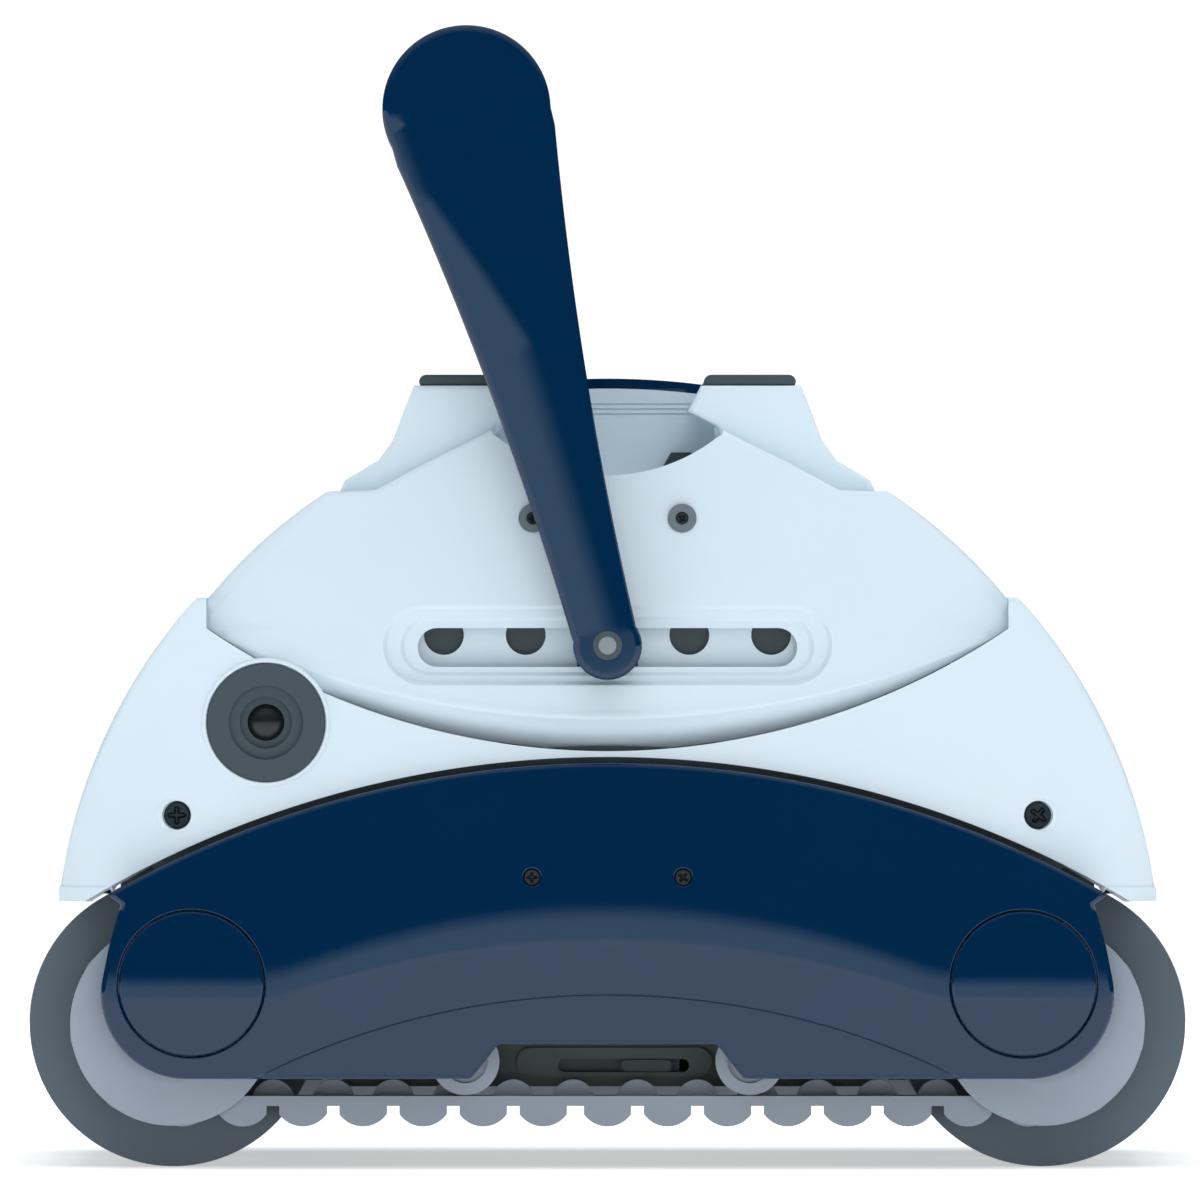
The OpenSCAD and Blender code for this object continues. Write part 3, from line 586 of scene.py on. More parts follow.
@dataclass
class Plaque:
    """A solid with a shaped front on the near side, a flat back and rounded front edges."""

    outline: Loop
    front: Height
    back: float
    edge: float = 1.5
    holes: Sequence[Loop] = ()
    rings: Sequence[Loop] = ()
    spacing: float = 5.0

    def build_into(self, work: Patchwork) -> None:
        """Adds the solid to a patchwork.

        Args:
            work: Patchwork that gets the solid.
        """
        def height(p: np.ndarray) -> np.ndarray:
            """Front face with its edges rolled back."""
            d = distance(p, self.outline)
            for hole in self.holes:
                d = np.minimum(d, distance(p, hole) * 3)
            return self.front(p) - rolled(d, self.edge)

        loops = [self.outline]
        lines = [offset(self.outline, self.edge * (1 - math.cos(math.radians(a)))) for a in (25, 45, 65, 90)]
        for hole in self.holes:
            loops.append(hole)
            lines += [offset(hole, -self.edge / 3 * (1 - math.cos(math.radians(a)))) for a in (45, 90)]
        points, faces = fill(self.outline, self.holes, [*lines, *self.rings], self.spacing)
        work.add(raised(height, points), faces, slope(height, points))
        flat = np.stack([points[:, 0], np.full(len(points), -self.back), points[:, 1]], 1)
        work.add(flat, faces[:, ::-1], np.tile([0.0, 1.0, 0.0], (len(points), 1)))
        ends = np.sort(np.concatenate([faces[:, [0, 1]], faces[:, [1, 2]], faces[:, [2, 0]]]), 1)
        raw = np.concatenate([faces[:, [0, 1]], faces[:, [1, 2]], faces[:, [2, 0]]])
        _, where, uses = np.unique(ends, axis=0, return_inverse=True, return_counts=True)
        free = raw[uses[where.ravel()] == 1]
        top = raised(height, points)
        count = len(free)
        rim = np.concatenate([top[free[:, 0]], top[free[:, 1]], flat[free[:, 0]], flat[free[:, 1]]])
        i = np.arange(count)
        work.add(rim, np.concatenate([np.stack([i + count, i, i + 2 * count], 1),
                                      np.stack([i + count, i + 2 * count, i + 3 * count], 1)]))


def lathe(work: Patchwork, x: float, z: float, section: Sequence[tuple[float, float]], count: int = 96) -> None:
    """Adds a turned shape about an axis along Y on the near side.

    Args:
        work: Patchwork that gets the shape.
        x: Axis along X.
        z: Axis along Z.
        section: Radius and distance out of each point, from the back round to the front.
        count: Number of steps round.
    """
    a = np.radians(np.arange(count) * 360 / count)
    r, out = np.array(section).T
    points = np.stack([
        x + r[None] * np.cos(a)[:, None],
        np.broadcast_to(-out[None], (count, len(r))),
        z + r[None] * np.sin(a)[:, None],
    ], -1)
    work.grid(points, flip=True, loop=True)


def dress(piece: bpy.types.Object, body: str, nodes: Sequence[str] = ()) -> bpy.types.Object:
    """Hands a finished piece to its CAD body.

    Args:
        piece: The finished object.
        body: CAD body that carries it.
        nodes: CAD nodes that it stands for.

    Returns:
        The same object.
    """
    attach(piece, body)
    if nodes:
        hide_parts(*nodes)
    LOG.info("%s rides on %s", piece.name, body)
    return piece


# ------------------------------------------------------------------------------------------- white shells


def edge_strip(
    height: Height, edge: Loop, out: np.ndarray, radius: np.ndarray, stop: np.ndarray, across: int = 12
) -> tuple[np.ndarray, np.ndarray]:
    """Rounds the edge between a side wall and the surface that runs across the robot, and follows that surface.

    Args:
        height: Side wall's distance out.
        edge: (n, 2) points of the sharp edge in the X-Z plane.
        out: (n, 2) normals of the surface across.
        radius: Edge radius at each point.
        stop: Distance from the middle plane at which the strip ends, at each point.
        across: Number of steps across the robot.

    Returns:
        Points and normals, one row per step, starting on the side wall.
    """
    n1 = slope(height, edge)
    n2 = np.stack([out[:, 0], np.zeros(len(out)), out[:, 1]], 1)
    both = np.sum(n1 * n2, 1)
    centre = raised(height, edge) - (radius / (1 + both))[:, None] * (n1 + n2)
    angle = np.maximum(np.arccos(np.clip(both, -1, 1)), 1e-4)
    rows, tilts = [], []
    for t in np.linspace(0, 1, 9):
        n = np.sin((1 - t) * angle)[:, None] * n1 + np.sin(t * angle)[:, None] * n2
        n /= np.linalg.norm(n, axis=1, keepdims=True)
        rows.append(centre + radius[:, None] * n)
        tilts.append(n)
    lift = raised(height, rows[0][:, [0, 2]])[:, 1] - rows[0][:, 1]
    for row, t in zip(rows, np.linspace(0, 1, 9), strict=True):
        row[:, 1] += lift * (1 - t) ** 2
    last = rows[-1]
    for t in np.linspace(0, 1, across + 1)[1:]:
        row = last.copy()
        row[:, 1] = last[:, 1] + (-stop - last[:, 1]) * t
        rows.append(row)
        tilts.append(n2)
    return np.stack(rows), np.stack(tilts)


@dataclass
class UpperShell:
    """The domed upper shell with its handle slots, cable scallops and four pad towers."""

    wall: float = 3.0
    dome_r: float = 185.4
    dome_z: float = 88.5
    deck_z: float = 244.0
    seam_r: float = 257.85
    seam_z: float = 408.5
    smile_r: float = 344.0
    smile_z: float = 506.0
    smile_x: float = 138.0
    smile_depth: float = 8.5
    fender_x: float = 144.2
    upright_y: float = 186.0
    lean_z: float = 174.0
    lean: float = 14 / 90
    scallop_r: float = 64.0
    scallop_z: float = 313.8
    well_r: float = 68.6
    slot_steps: tuple[tuple[float, float, float, float], ...] = (
        (181.0, 188.5, 162.0, 29.0), (179.0, 188.1, 149.4, 21.5),
    )
    roof: tuple[tuple[float, float], ...] = (
        (100.9, 244.0), (97.0, 244.0), (83.5, 244.5), (65.0, 254.5), (49.0, 262.4), (42.0, 266.1),
    )
    slot_z: float = 187.7
    screw_at: tuple[float, float] = (26.9, 234.3)
    bumper_at: tuple[float, float] = (-123.0, 160.7)
    tower: tuple[tuple[float, float], ...] = (
        (29.0, 273.0), (33.7, 282.2), (69.7, 282.2), (72.0, 276.8), (74.7, 269.6), (77.4, 262.4), (82.6, 255.2),
        (94.7, 248.0), (97.0, 243.0), (83.5, 241.0), (42.6, 260.0), (39.6, 267.4),
    )

    def seam(self, x: np.ndarray) -> np.ndarray:
        """Height of the shell's lower edge along X."""
        return self.seam_z - np.sqrt(self.seam_r**2 - x**2)

    def smile(self, x: np.ndarray) -> np.ndarray:
        """Height of the crease above the tucked-in lower edge."""
        return self.smile_z - np.sqrt(self.smile_r**2 - x**2)

    def height(self, points: np.ndarray) -> np.ndarray:
        """Side wall: it leans in above the slot, steps into the slot and tucks under below the crease.

        Args:
            points: (n, 2) points in the X-Z plane.

        Returns:
            Distance out from the middle plane.
        """
        x, z = points[:, 0], points[:, 1]
        soft = 10.0
        above = soft * np.logaddexp(0, (z - self.lean_z) / soft)
        y = self.upright_y - self.lean * above
        bend = np.clip(np.abs(x) - 130, 0, 59.9)
        y = y - (60 - np.sqrt(3600 - bend**2))
        inner = np.clip(np.abs(x), 0, 200)
        fade = np.clip(1 - (inner / self.smile_x) ** 2, 0, 1)
        gap = self.smile(inner) - self.seam(inner)
        below = self.smile(inner) - z
        u = np.clip(below / np.maximum(gap, 0.5), 0, 1.2)
        y = y - self.smile_depth * fade**1.2 * (0.75 * u + 0.25 * u * u) * (below > 0)
        y = y + 0.9 * np.sqrt(fade) * np.exp(-(((below + 0.8) / 2.2) ** 2)) * (below <= 0.0)
        y = y + 0.9 * np.sqrt(fade) * np.exp(-(((below * 1.5 + 0.8) / 2.2) ** 2)) * (below > 0)
        near = (np.abs(x) < 90) & (np.abs(z - self.slot_z) < 24)
        if near.any():
            p = points[near]
            for floor, cz, length, width in self.slot_steps:
                depth = self.into_oval(p, cz, length, width)
                drop = np.maximum(y[near] - floor, 0.6)
                y[near] = y[near] - drop * step_down(depth, 1.6)
                p = points[near]
        return y

    @staticmethod
    def into_oval(points: np.ndarray, cz: float, length: float, width: float) -> np.ndarray:
        """How far points lie inside a slot with round ends, negative outside.

        Args:
            points: (n, 2) points in the X-Z plane.
            cz: Middle of the slot along Z.
            length: Length over the round ends.
            width: Width across.

        Returns:
            Depth of each point.
        """
        run = (length - width) / 2
        dx = np.maximum(np.abs(points[:, 0]) - run, 0)
        return width / 2 - np.hypot(dx, points[:, 1] - cz)

    def edge_samples(self) -> tuple[Loop, np.ndarray, np.ndarray, np.ndarray]:
        """Edge of the +X half: the dome up from the seam end, then the roof line up to the scallop."""
        low = math.degrees(math.atan2(193.8 - self.dome_z, 142.8))
        high = math.degrees(math.atan2(self.deck_z - self.dome_z, 100.9))
        dome = arc(0, self.dome_z, self.dome_r, low, high, 4.0)
        roof = dense(np.array(self.roof), 2.5, closed=False)
        right = np.concatenate([dome[:-1], roof])
        d = np.gradient(right, axis=0)
        out = np.stack([d[:, 1], -d[:, 0]], 1)
        out /= np.linalg.norm(out, axis=1, keepdims=True)
        t = np.clip((right[:, 1] - 225) / 22, 0, 1)
        radius = 7.0 - 4.8 * t * t * (3 - 2 * t)
        stop = np.sqrt(np.maximum(self.well_r**2 - right[:, 0] ** 2, 0))
        return right, out, radius, stop

    def half_skin(self) -> Patchwork:
        """Builds the wall, the rounded edge and the roof of the whole shell.

        Returns:
            The closed shell without its towers.
        """
        edge, out, radius, stop = self.edge_samples()
        mirror = np.array([-1.0, 1.0])
        edge = np.concatenate([edge, edge[::-1] * mirror])
        out = np.concatenate([out, out[::-1] * mirror])
        radius = np.concatenate([radius, radius[::-1]])
        stop = np.concatenate([stop, stop[::-1]])
        half = len(edge) // 2
        rows, tilts = edge_strip(self.height, edge, out, radius, stop)
        start = rows[0][:, [0, 2]]
        work = Patchwork()
        for part in (slice(0, half), slice(half, None)):
            work.grid(rows[:, part], tilts[:, part])
        top_x = float(start[half - 1, 0])
        a = math.degrees(math.acos(min(1.0, top_x / self.scallop_r)))
        scallop = arc(0, self.scallop_z, self.scallop_r, -a, -180 + a, 2.0)
        bottom_x = np.linspace(-start[0, 0], start[0, 0], 121)[1:-1]
        seam = np.stack([bottom_x, self.seam(bottom_x)], 1)
        outline = np.concatenate([start[:half], scallop[1:-1], start[half:], seam])
        smile_x = np.linspace(-self.smile_x, self.smile_x, 139)
        middle_gap = self.smile(smile_x) - self.seam(smile_x)
        rings = []
        for lift_by, share in ((4.0, 0), (2.6, 0), (1.4, 0), (0.5, 0), (0.0, 0), (-0.6, 0), (0.0, 0.3), (0.0, 0.65)):
            z = self.smile(smile_x) + lift_by - share * np.maximum(middle_gap, 0)
            keep = z > self.seam(smile_x) + 0.3
            rings.append(np.stack([smile_x, z], 1)[keep])
        ovals = []
        for cz, length, width in ((188.5, 162.0, 29.0), (188.1, 149.4, 21.5)):
            ovals += [oval(0, cz, length, width, -d) for d in (-0.05, 0.25, 0.8, 1.35, 1.65)]
        holes = [oval(0, self.slot_z, 136.8, 14.0)]
        holes += [circle(s * self.screw_at[0], self.screw_at[1], 5.2, 40) for s in (-1, 1)]
        holes.append(circle(*self.bumper_at, 22.4, 72))
        points, faces = fill(outline, holes, [*ovals, *rings], 4.5)
        work.add(raised(self.height, points), faces, slope(self.height, points))
        liner = np.array([(42.0, 264.5), (40.3, 262.0), (39.9, 258.0), (39.9, 244.1), (-39.9, 244.1), (-39.9, 258.0),
                          (-40.3, 262.0), (-42.0, 264.5)])
        ys = np.linspace(-170.0, -83.0, 6)
        sheet = np.stack([np.stack([liner[:, 0], np.full(len(liner), y), liner[:, 1]], 1) for y in ys])
        work.grid(sheet)
        work.twin((-1.0, -1.0, 1.0))
        work.thicken(self.wall)
        return work

    def make(self) -> None:
        """Builds the shell and its towers and dresses them."""
        dress(self.half_skin().build("upper_shell_skin", WHITE_ABS), "root", ["upper_shell"])
        towers = Patchwork()
        loop = dense(np.array(self.tower), 3.0)
        for flip in (1, -1):
            turned = loop * np.array([flip, 1.0])
            Block(turned, 100.0, 166.0, 1.6).build_into(towers)
        towers.twin((1.0, -1.0, 1.0))
        dress(towers.build("pad_towers", WHITE_ABS), "root")


@dataclass
class Block:
    """A prism along Y whose edges are rounded at both ends."""

    outline: Loop
    near: float
    far: float
    edge: float

    def build_into(self, work: Patchwork) -> None:
        """Adds the prism on the near side, from one distance out to the other.

        Args:
            work: Patchwork that gets the prism.
        """
        loop = self.outline
        area = np.sum(loop[:, 0] * np.roll(loop[:, 1], -1) - loop[:, 1] * np.roll(loop[:, 0], -1))
        if area < 0:
            loop = loop[::-1]
        rings: list[tuple[float, float]] = [
            (self.edge * (1 - math.sin(a)), self.far - self.edge * (1 - math.cos(a)))
            for a in np.radians([0, 25, 50, 70, 90])
        ]
        rings += [(d, self.near + (self.far - y)) for d, y in reversed(rings)]
        shaped = [np.insert(offset(loop, d), 1, -y, axis=1) for d, y in rings]
        work.grid(np.stack(shaped), flip=True)
        work.grid(np.stack([np.stack([row[-1], row[0]]) for row in shaped]), flip=True)
        for row, front in ((shaped[0], True), (shaped[-1], False)):
            points, faces = fill(row[:, [0, 2]], spacing=9.0)
            placed = np.insert(points, 1, row[0, 1], axis=1)
            work.add(placed, faces if front else faces[:, ::-1])


@dataclass
class LowerSkirt:
    """The white skirt with its fenders over the wheels, its bottom lip, screw cups and bumper collars."""

    wall: float = 3.0
    side_y: float = 188.0
    outline_r: float = 200.0
    outline_z: float = 71.2
    corner_r: float = 60.0
    low_z: float = 96.0
    lip_z: float = 101.4
    top_z: float = 205.6
    fender_x: float = 144.5
    seam_r: float = 258.15
    seam_z: float = 408.5
    arch_r: float = 367.0
    arch_z: float = -218.7
    cup_at: tuple[float, float] = (155.2, 127.3)
    bumper_at: tuple[float, float] = (-123.0, 160.7)

    def height(self, points: np.ndarray) -> np.ndarray:
        """Side wall: upright in the middle, rounding away at the corners, with a lip along the bottom.

        Args:
            points: (n, 2) points in the X-Z plane.

        Returns:
            Distance out from the middle plane.
        """
        x, z = np.abs(points[:, 0]), points[:, 1]
        r = self.corner_r
        bend = np.clip(x - (self.outline_r - r), 0, r * 0.9985)
        y = self.side_y - (r - np.sqrt(r * r - bend**2))
        return y + 0.9 * step_down(self.lip_z + 0.3 - z, 0.6)

    def edges(self) -> tuple[Loop, np.ndarray, np.ndarray]:
        """Ledge, outline and lip of the right-hand half.

        Returns:
            Points of the outline, outward normals and edge radii.
        """
        top = math.degrees(math.asin((self.top_z - self.outline_z) / self.outline_r))
        low = math.degrees(math.asin((self.lip_z - self.outline_z) / self.outline_r))
        line = arc(0, self.outline_z, self.outline_r, low, top, 4.0)
        lip_x = float(line[0, 0])
        foot = np.array([(lip_x + 0.8, self.low_z), (lip_x + 0.8, self.low_z + 2.5), (lip_x + 0.8, self.lip_z - 0.8)])
        ledge = np.array([(147.9, self.top_z), (146.2, self.top_z), (self.fender_x, self.top_z)])
        edge = np.concatenate([foot, line[:-1], ledge])
        turn = np.radians(np.linspace(low, top, len(line)))[:-1]
        out = np.concatenate([
            np.tile([1.0, 0.0], (3, 1)),
            np.stack([np.cos(turn), np.sin(turn)], 1),
            np.array([(0.35, 0.94), (0.0, 1.0), (0.0, 1.0)]),
        ])
        t = np.clip((edge[:, 1] - 165) / 36, 0, 1)
        radius = 5.0 - 3.6 * t
        radius[:3] = 1.0
        return edge, out, radius

    def skin(self) -> Patchwork:
        """Builds the walls, the rounded edges and the end strips.

        Returns:
            The closed skirt without its collars.
        """
        edge, out, radius = self.edges()
        rows, tilts = edge_strip(self.height, edge, out, radius, np.zeros(len(edge)))
        start = rows[0][:, [0, 2]]
        mirror = np.array([-1.0, 1.0, 1.0])
        work = Patchwork()
        work.grid(rows, tilts)
        work.grid(rows * mirror, tilts * mirror, flip=True)
        arch_x = math.sqrt(self.arch_r**2 - (self.low_z - self.arch_z) ** 2)
        xs = np.linspace(-self.fender_x, self.fender_x, 121)
        seam = np.stack([xs, self.seam_z - np.sqrt(self.seam_r**2 - xs**2)], 1)
        xs = np.linspace(arch_x, -arch_x, 161)
        arch = np.stack([xs, self.arch_z + np.sqrt(self.arch_r**2 - xs**2)], 1)
        outline = np.concatenate([start, seam[::-1], (start * mirror[[0, 2]])[::-1], arch[::-1]])
        outline = outline[np.r_[True, np.linalg.norm(np.diff(outline, axis=0), axis=1) > 0.01]]
        holes = [circle(s * self.cup_at[0], self.cup_at[1], 5.25, 48) for s in (-1, 1)]
        holes.append(circle(*self.bumper_at, 22.4, 72))
        bends = np.degrees(np.arcsin(np.clip(np.linspace(0, 0.99, 12), 0, 1)))
        columns = [140 + 60 * math.sin(math.radians(b)) for b in np.linspace(4, float(bends[-1]), 20)]
        middle = np.arange(-138, 139, 4.6).tolist()
        xs = np.array([-c for c in reversed(columns)] + middle + columns)
        lines = []
        for z in (self.lip_z + 0.35, self.lip_z + 0.1, self.lip_z - 0.1, self.lip_z - 0.35):
            for s in (-1, 1):
                ends = np.array([(s * 176.0, z), (s * 199.0, z)])
                lines.append(dense(ends, 2.0, closed=False))
        points, faces = fill(outline, holes, lines, 4.2, xs)
        work.add(raised(self.height, points), faces, slope(self.height, points))
        work.twin((-1.0, -1.0, 1.0))
        work.thicken(self.wall)
        return work

    def fittings(self, work: Patchwork) -> None:
        """Adds the collars round the bumpers and the cups round the screws.

        Args:
            work: Patchwork that gets them, both sides.
        """
        lathe(work, *self.bumper_at, [
            (21.3, 172.0), (23.3, 172.0), (23.3, 187.4), (23.2, 188.3), (22.9, 188.9), (22.4, 189.2), (21.9, 189.1),
            (21.5, 188.7), (21.3, 188.0), (21.3, 172.0),
        ])
        for s in (-1, 1):
            lathe(work, s * self.cup_at[0], self.cup_at[1], [
                (2.2, 178.0), (7.0, 178.0), (7.0, 184.8), (5.25, 186.2), (5.2, 180.2), (2.2, 180.2), (2.2, 178.0),
            ], 48)
        work.twin((-1.0, -1.0, 1.0))

    def make(self) -> None:
        """Builds the skirt and dresses it."""
        dress(self.skin().build("lower_skirt_skin", WHITE_ABS), "root", ["lower_skirt"])
        extra = Patchwork()
        self.fittings(extra)
        dress(extra.build("skirt_collars", WHITE_ABS), "root")


# --------------------------------------------------------------------------------------------- navy parts


@dataclass
class SidePanels:
    """The glossy covers over the running gear, with their hub caps."""

    face_y: float = 195.0
    back_y: float = 182.5
    arch_r: float = 365.0
    arch_z: float = -218.8
    foot_z: float = 32.4
    crest_z: float = 63.4
    crest_r: float = 300.0
    crest_top: float = 88.2
    crown_r: float = 760.0
    recess_r: float = 284.0
    recess_top: float = 63.0
    recess_depth: float = 1.1
    cap_at: tuple[float, float] = (149.8, 66.7)
    cap_r: float = 26.1
    gap: float = 0.35
    screw_at: tuple[float, float] = (27.2, 105.0)

    def outline(self) -> Loop:
        """Outline of a panel: arch above, stepped ends, round feet and the cut-out in the middle."""
        top = arc(0, self.arch_z, self.arch_r, 90, math.degrees(math.acos(179.6 / self.arch_r)), 3.0)
        end = np.array([(179.8, 98.4), (175.2, 95.2), (179.4, 80.2), (182.1, 66.5)])
        foot = arc(151.4, 63.0, 30.9, 2, -90, 2.0)
        foot[:, 1] += (self.foot_z - 32.1)
        cut = np.concatenate([
            np.array([(58.0, self.foot_z)]),
            arc(50.5, self.foot_z + 3.0, 3.0, -90, -140, 1.0),
            arc(38.0, 41.9, 3.0, 50, 90, 1.0),
        ])
        half = np.concatenate([top, end, foot, cut])
        return dense(np.concatenate([half, (half * np.array([-1.0, 1.0]))[::-1][:-1]]), 4.0)

    def crest(self, x: np.ndarray) -> np.ndarray:
        """Height at which the panel's face turns from facing up to facing down.

        Args:
            x: Places along X.

        Returns:
            The crest's height at each place.
        """
        inner = np.minimum(np.abs(x), 200)
        line = self.crest_top - self.crest_r + np.sqrt(self.crest_r**2 - inner**2)
        return self.crest_z + 1.2 * np.logaddexp(0, (line - self.crest_z) / 1.2)

    def front(self, points: np.ndarray) -> np.ndarray:
        """Face of a panel: crowned about its crest, with the sunk field below the groove.

        Args:
            points: (n, 2) points in the X-Z plane.

        Returns:
            Distance out from the middle plane.
        """
        x, z = points[:, 0], points[:, 1]
        off = z - self.crest(x)
        y = self.face_y - off**2 / (2 * self.crown_r)
        into = self.recess_r - np.hypot(x, z - (self.recess_top - self.recess_r))
        return y - step_down(into, 0.7) * (self.recess_depth + 0.02 * np.maximum(into, 0))

    def cap_front(self, points: np.ndarray) -> np.ndarray:
        """Face of a hub cap, crowned about the same crest as the panel."""
        off = points[:, 1] - self.crest_z
        return self.face_y + 0.25 - off**2 / (2 * self.crown_r * 0.7)

    def make(self) -> None:
        """Builds both panels and the four hub caps and dresses them."""
        caps_at = [(s * self.cap_at[0], self.cap_at[1]) for s in (-1, 1)]
        holes = [circle(x, z, self.cap_r + self.gap, 96) for x, z in caps_at]
        holes += [circle(s * self.screw_at[0], self.screw_at[1], 3.1, 32) for s in (-1, 1)]
        rings = []
        for depth in (-0.1, 0.1, 0.35, 0.6, 0.8):
            rings.append(arc(0, self.recess_top - self.recess_r, self.recess_r - depth, 63.6, 116.4, 2.5))
        for side in Side:
            work = Patchwork()
            lines = [np.concatenate([r, r[::-1][1:-1]]) for r in rings]
            Plaque(self.outline(), self.front, self.back_y, 1.8, holes, lines, 5.5).build_into(work)
            if side is Side.LEFT:
                work = work.mirrored()
            name = f"side_panel_{side.word}"
            dress(work.build(f"{name}_cover", NAVY_ABS), "root", [name])
        caps = Patchwork()
        for x, z in caps_at:
            ring = circle(x, z, self.cap_r, 96)
            Plaque(ring, self.cap_front, self.face_y - 2.6, 0.9, spacing=4.0).build_into(caps)
        caps.twin((1.0, -1.0, 1.0))
        dress(caps.build("hub_cap_covers", NAVY_ABS), "root", ["hub_caps"])


@dataclass
class Handle:
    """The swinging handle: its two tapered arms."""

    pivot_z: float = 188.4
    length: float = 199.5
    lean: float = 14.73
    top_r: float = 30.3
    end_r: float = 12.4
    near: float = 190.2
    far: float = 202.0
    crown_r: float = 240.0
    crest: tuple[tuple[float, float], ...] = (
        (0.0, 170.0), (0.0, 194.4), (-25.7, 297.0), (-43.0, 324.0), (-61.5, 351.0), (-66.5, 366.0), (-70.5, 378.5),
        (-72.0, 381.0), (-95.0, 381.0),
    )

    def placed(self, s: np.ndarray, t: np.ndarray) -> Loop:
        """Turns distances along and across an arm into X-Z points."""
        a = math.radians(self.lean)
        return np.stack([-s * math.sin(a) + t * math.cos(a), self.pivot_z + s * math.cos(a) + t * math.sin(a)], 1)

    def outline(self) -> Loop:
        """Outline of an arm, wide and round at the float and narrow and round at the pivot."""
        s = np.linspace(5.0, 186.0, 62)
        half = 11.55 + 0.025 * s + 0.00038 * s**2
        start = math.degrees(math.acos(np.clip((self.length - 192.5) / self.top_r, -1, 1)))
        cap = np.radians(np.linspace(180 - start, -180 + start, 48))
        foot = np.radians(np.linspace(-68, -292, 24))
        ss = np.concatenate([s, self.length + self.top_r * np.cos(cap), s[::-1], self.end_r * np.sin(foot + np.pi / 2)])
        tt = np.concatenate([-half, -self.top_r * np.sin(cap), half[::-1], self.end_r * np.cos(foot + np.pi / 2)])
        return self.placed(ss, tt)

    def front(self, points: np.ndarray) -> np.ndarray:
        """Outer face of an arm, falling away on both sides of its crest."""
        d = distance(points, np.array(self.crest), closed=False)
        return self.far - 0.25 - np.minimum(d, 40) ** 2 / (2 * self.crown_r)

    def make(self) -> None:
        """Builds the two arms and dresses them."""
        for side in Side:
            work = Patchwork()
            Plaque(self.outline(), self.front, self.near, 2.4, spacing=5.0).build_into(work)
            if side is Side.LEFT:
                work = work.mirrored()
            name = f"handle_arm_{side.word}"
            dress(work.build(f"{name}_cover", NAVY_ABS), "handle", [name])


# ------------------------------------------------------------------------------------------ small fittings


@dataclass(frozen=True)
class Repeat:
    """Copies of one unit in a row, or round an axis along Y, set out by Geometry Nodes."""

    count: int
    start: tuple[float, float, float]
    step: tuple[float, float, float] = (0.0, 0.0, 0.0)
    turn: float = 0.0

    @staticmethod
    def tree() -> bpy.types.NodeTree:
        """Builds the tree once and returns it after that.

        Returns:
            A geometry tree with inputs for the unit, the number of copies, their places, turn and material.
        """
        found = bpy.data.node_groups.get("copies of a unit")
        if found:
            return found
        tree = bpy.data.node_groups.new("copies of a unit", "GeometryNodeTree")
        sockets = (
            ("Unit", "Geometry"), ("Count", "Int"), ("Start", "Vector"), ("Step", "Vector"), ("Turn", "Float"),
            ("Material", "Material"),
        )
        for name, kind in sockets:
            tree.interface.new_socket(name, in_out="INPUT", socket_type=f"NodeSocket{kind}")
        tree.interface.new_socket("Copies", in_out="OUTPUT", socket_type="NodeSocketGeometry")
        given = add_node(tree, "NodeGroupInput").outputs
        index = add_node(tree, "GeometryNodeInputIndex").outputs[0]
        moved = add_node(tree, "ShaderNodeVectorMath", {0: given["Step"], "Scale": index}, operation="SCALE")
        place = add_node(tree, "ShaderNodeVectorMath", {0: moved.outputs[0], 1: given["Start"]}, operation="ADD")
        points = add_node(tree, "GeometryNodePoints", {"Count": given["Count"], "Position": place.outputs[0]})
        angle = add_node(tree, "ShaderNodeMath", {0: index, 1: given["Turn"]}, operation="MULTIPLY")
        turned = add_node(tree, "ShaderNodeCombineXYZ", {"Y": angle.outputs[0]})
        copies = add_node(tree, "GeometryNodeInstanceOnPoints", {
            "Points": points.outputs[0], "Instance": given["Unit"], "Rotation": turned.outputs[0],
        })
        real = add_node(tree, "GeometryNodeRealizeInstances", {"Geometry": copies.outputs[0]})
        dressed = add_node(
            tree, "GeometryNodeSetMaterial", {"Geometry": real.outputs[0], "Material": given["Material"]}
        )
        add_node(tree, "NodeGroupOutput", {"Copies": dressed.outputs[0]})
        return tree

    def spread(self, unit: Patchwork, name: str, finish: Finish) -> bpy.types.Object:
        """Makes one plain mesh of all the copies.

        Args:
            unit: Unit, built about the Y axis.
            name: Name of the object.
            finish: Its finish.

        Returns:
            The finished object, without a modifier.
        """
        made = unit.build(name, finish)
        modifier = made.modifiers.new("copies", "NODES")
        modifier.node_group = self.tree()
        values = {
            "Count": self.count, "Start": [v * MM for v in self.start], "Step": [v * MM for v in self.step],
            "Turn": math.radians(self.turn), "Material": finish.material(),
        }
        for item in modifier.node_group.interface.items_tree:
            if item.in_out == "INPUT" and item.name in values:
                modifier[item.identifier] = values[item.name]
        bpy.context.view_layer.update()
        seen = made.evaluated_get(bpy.context.evaluated_depsgraph_get())
        mesh = bpy.data.meshes.new_from_object(seen)
        made.modifiers.remove(modifier)
        made.data = mesh
        return made


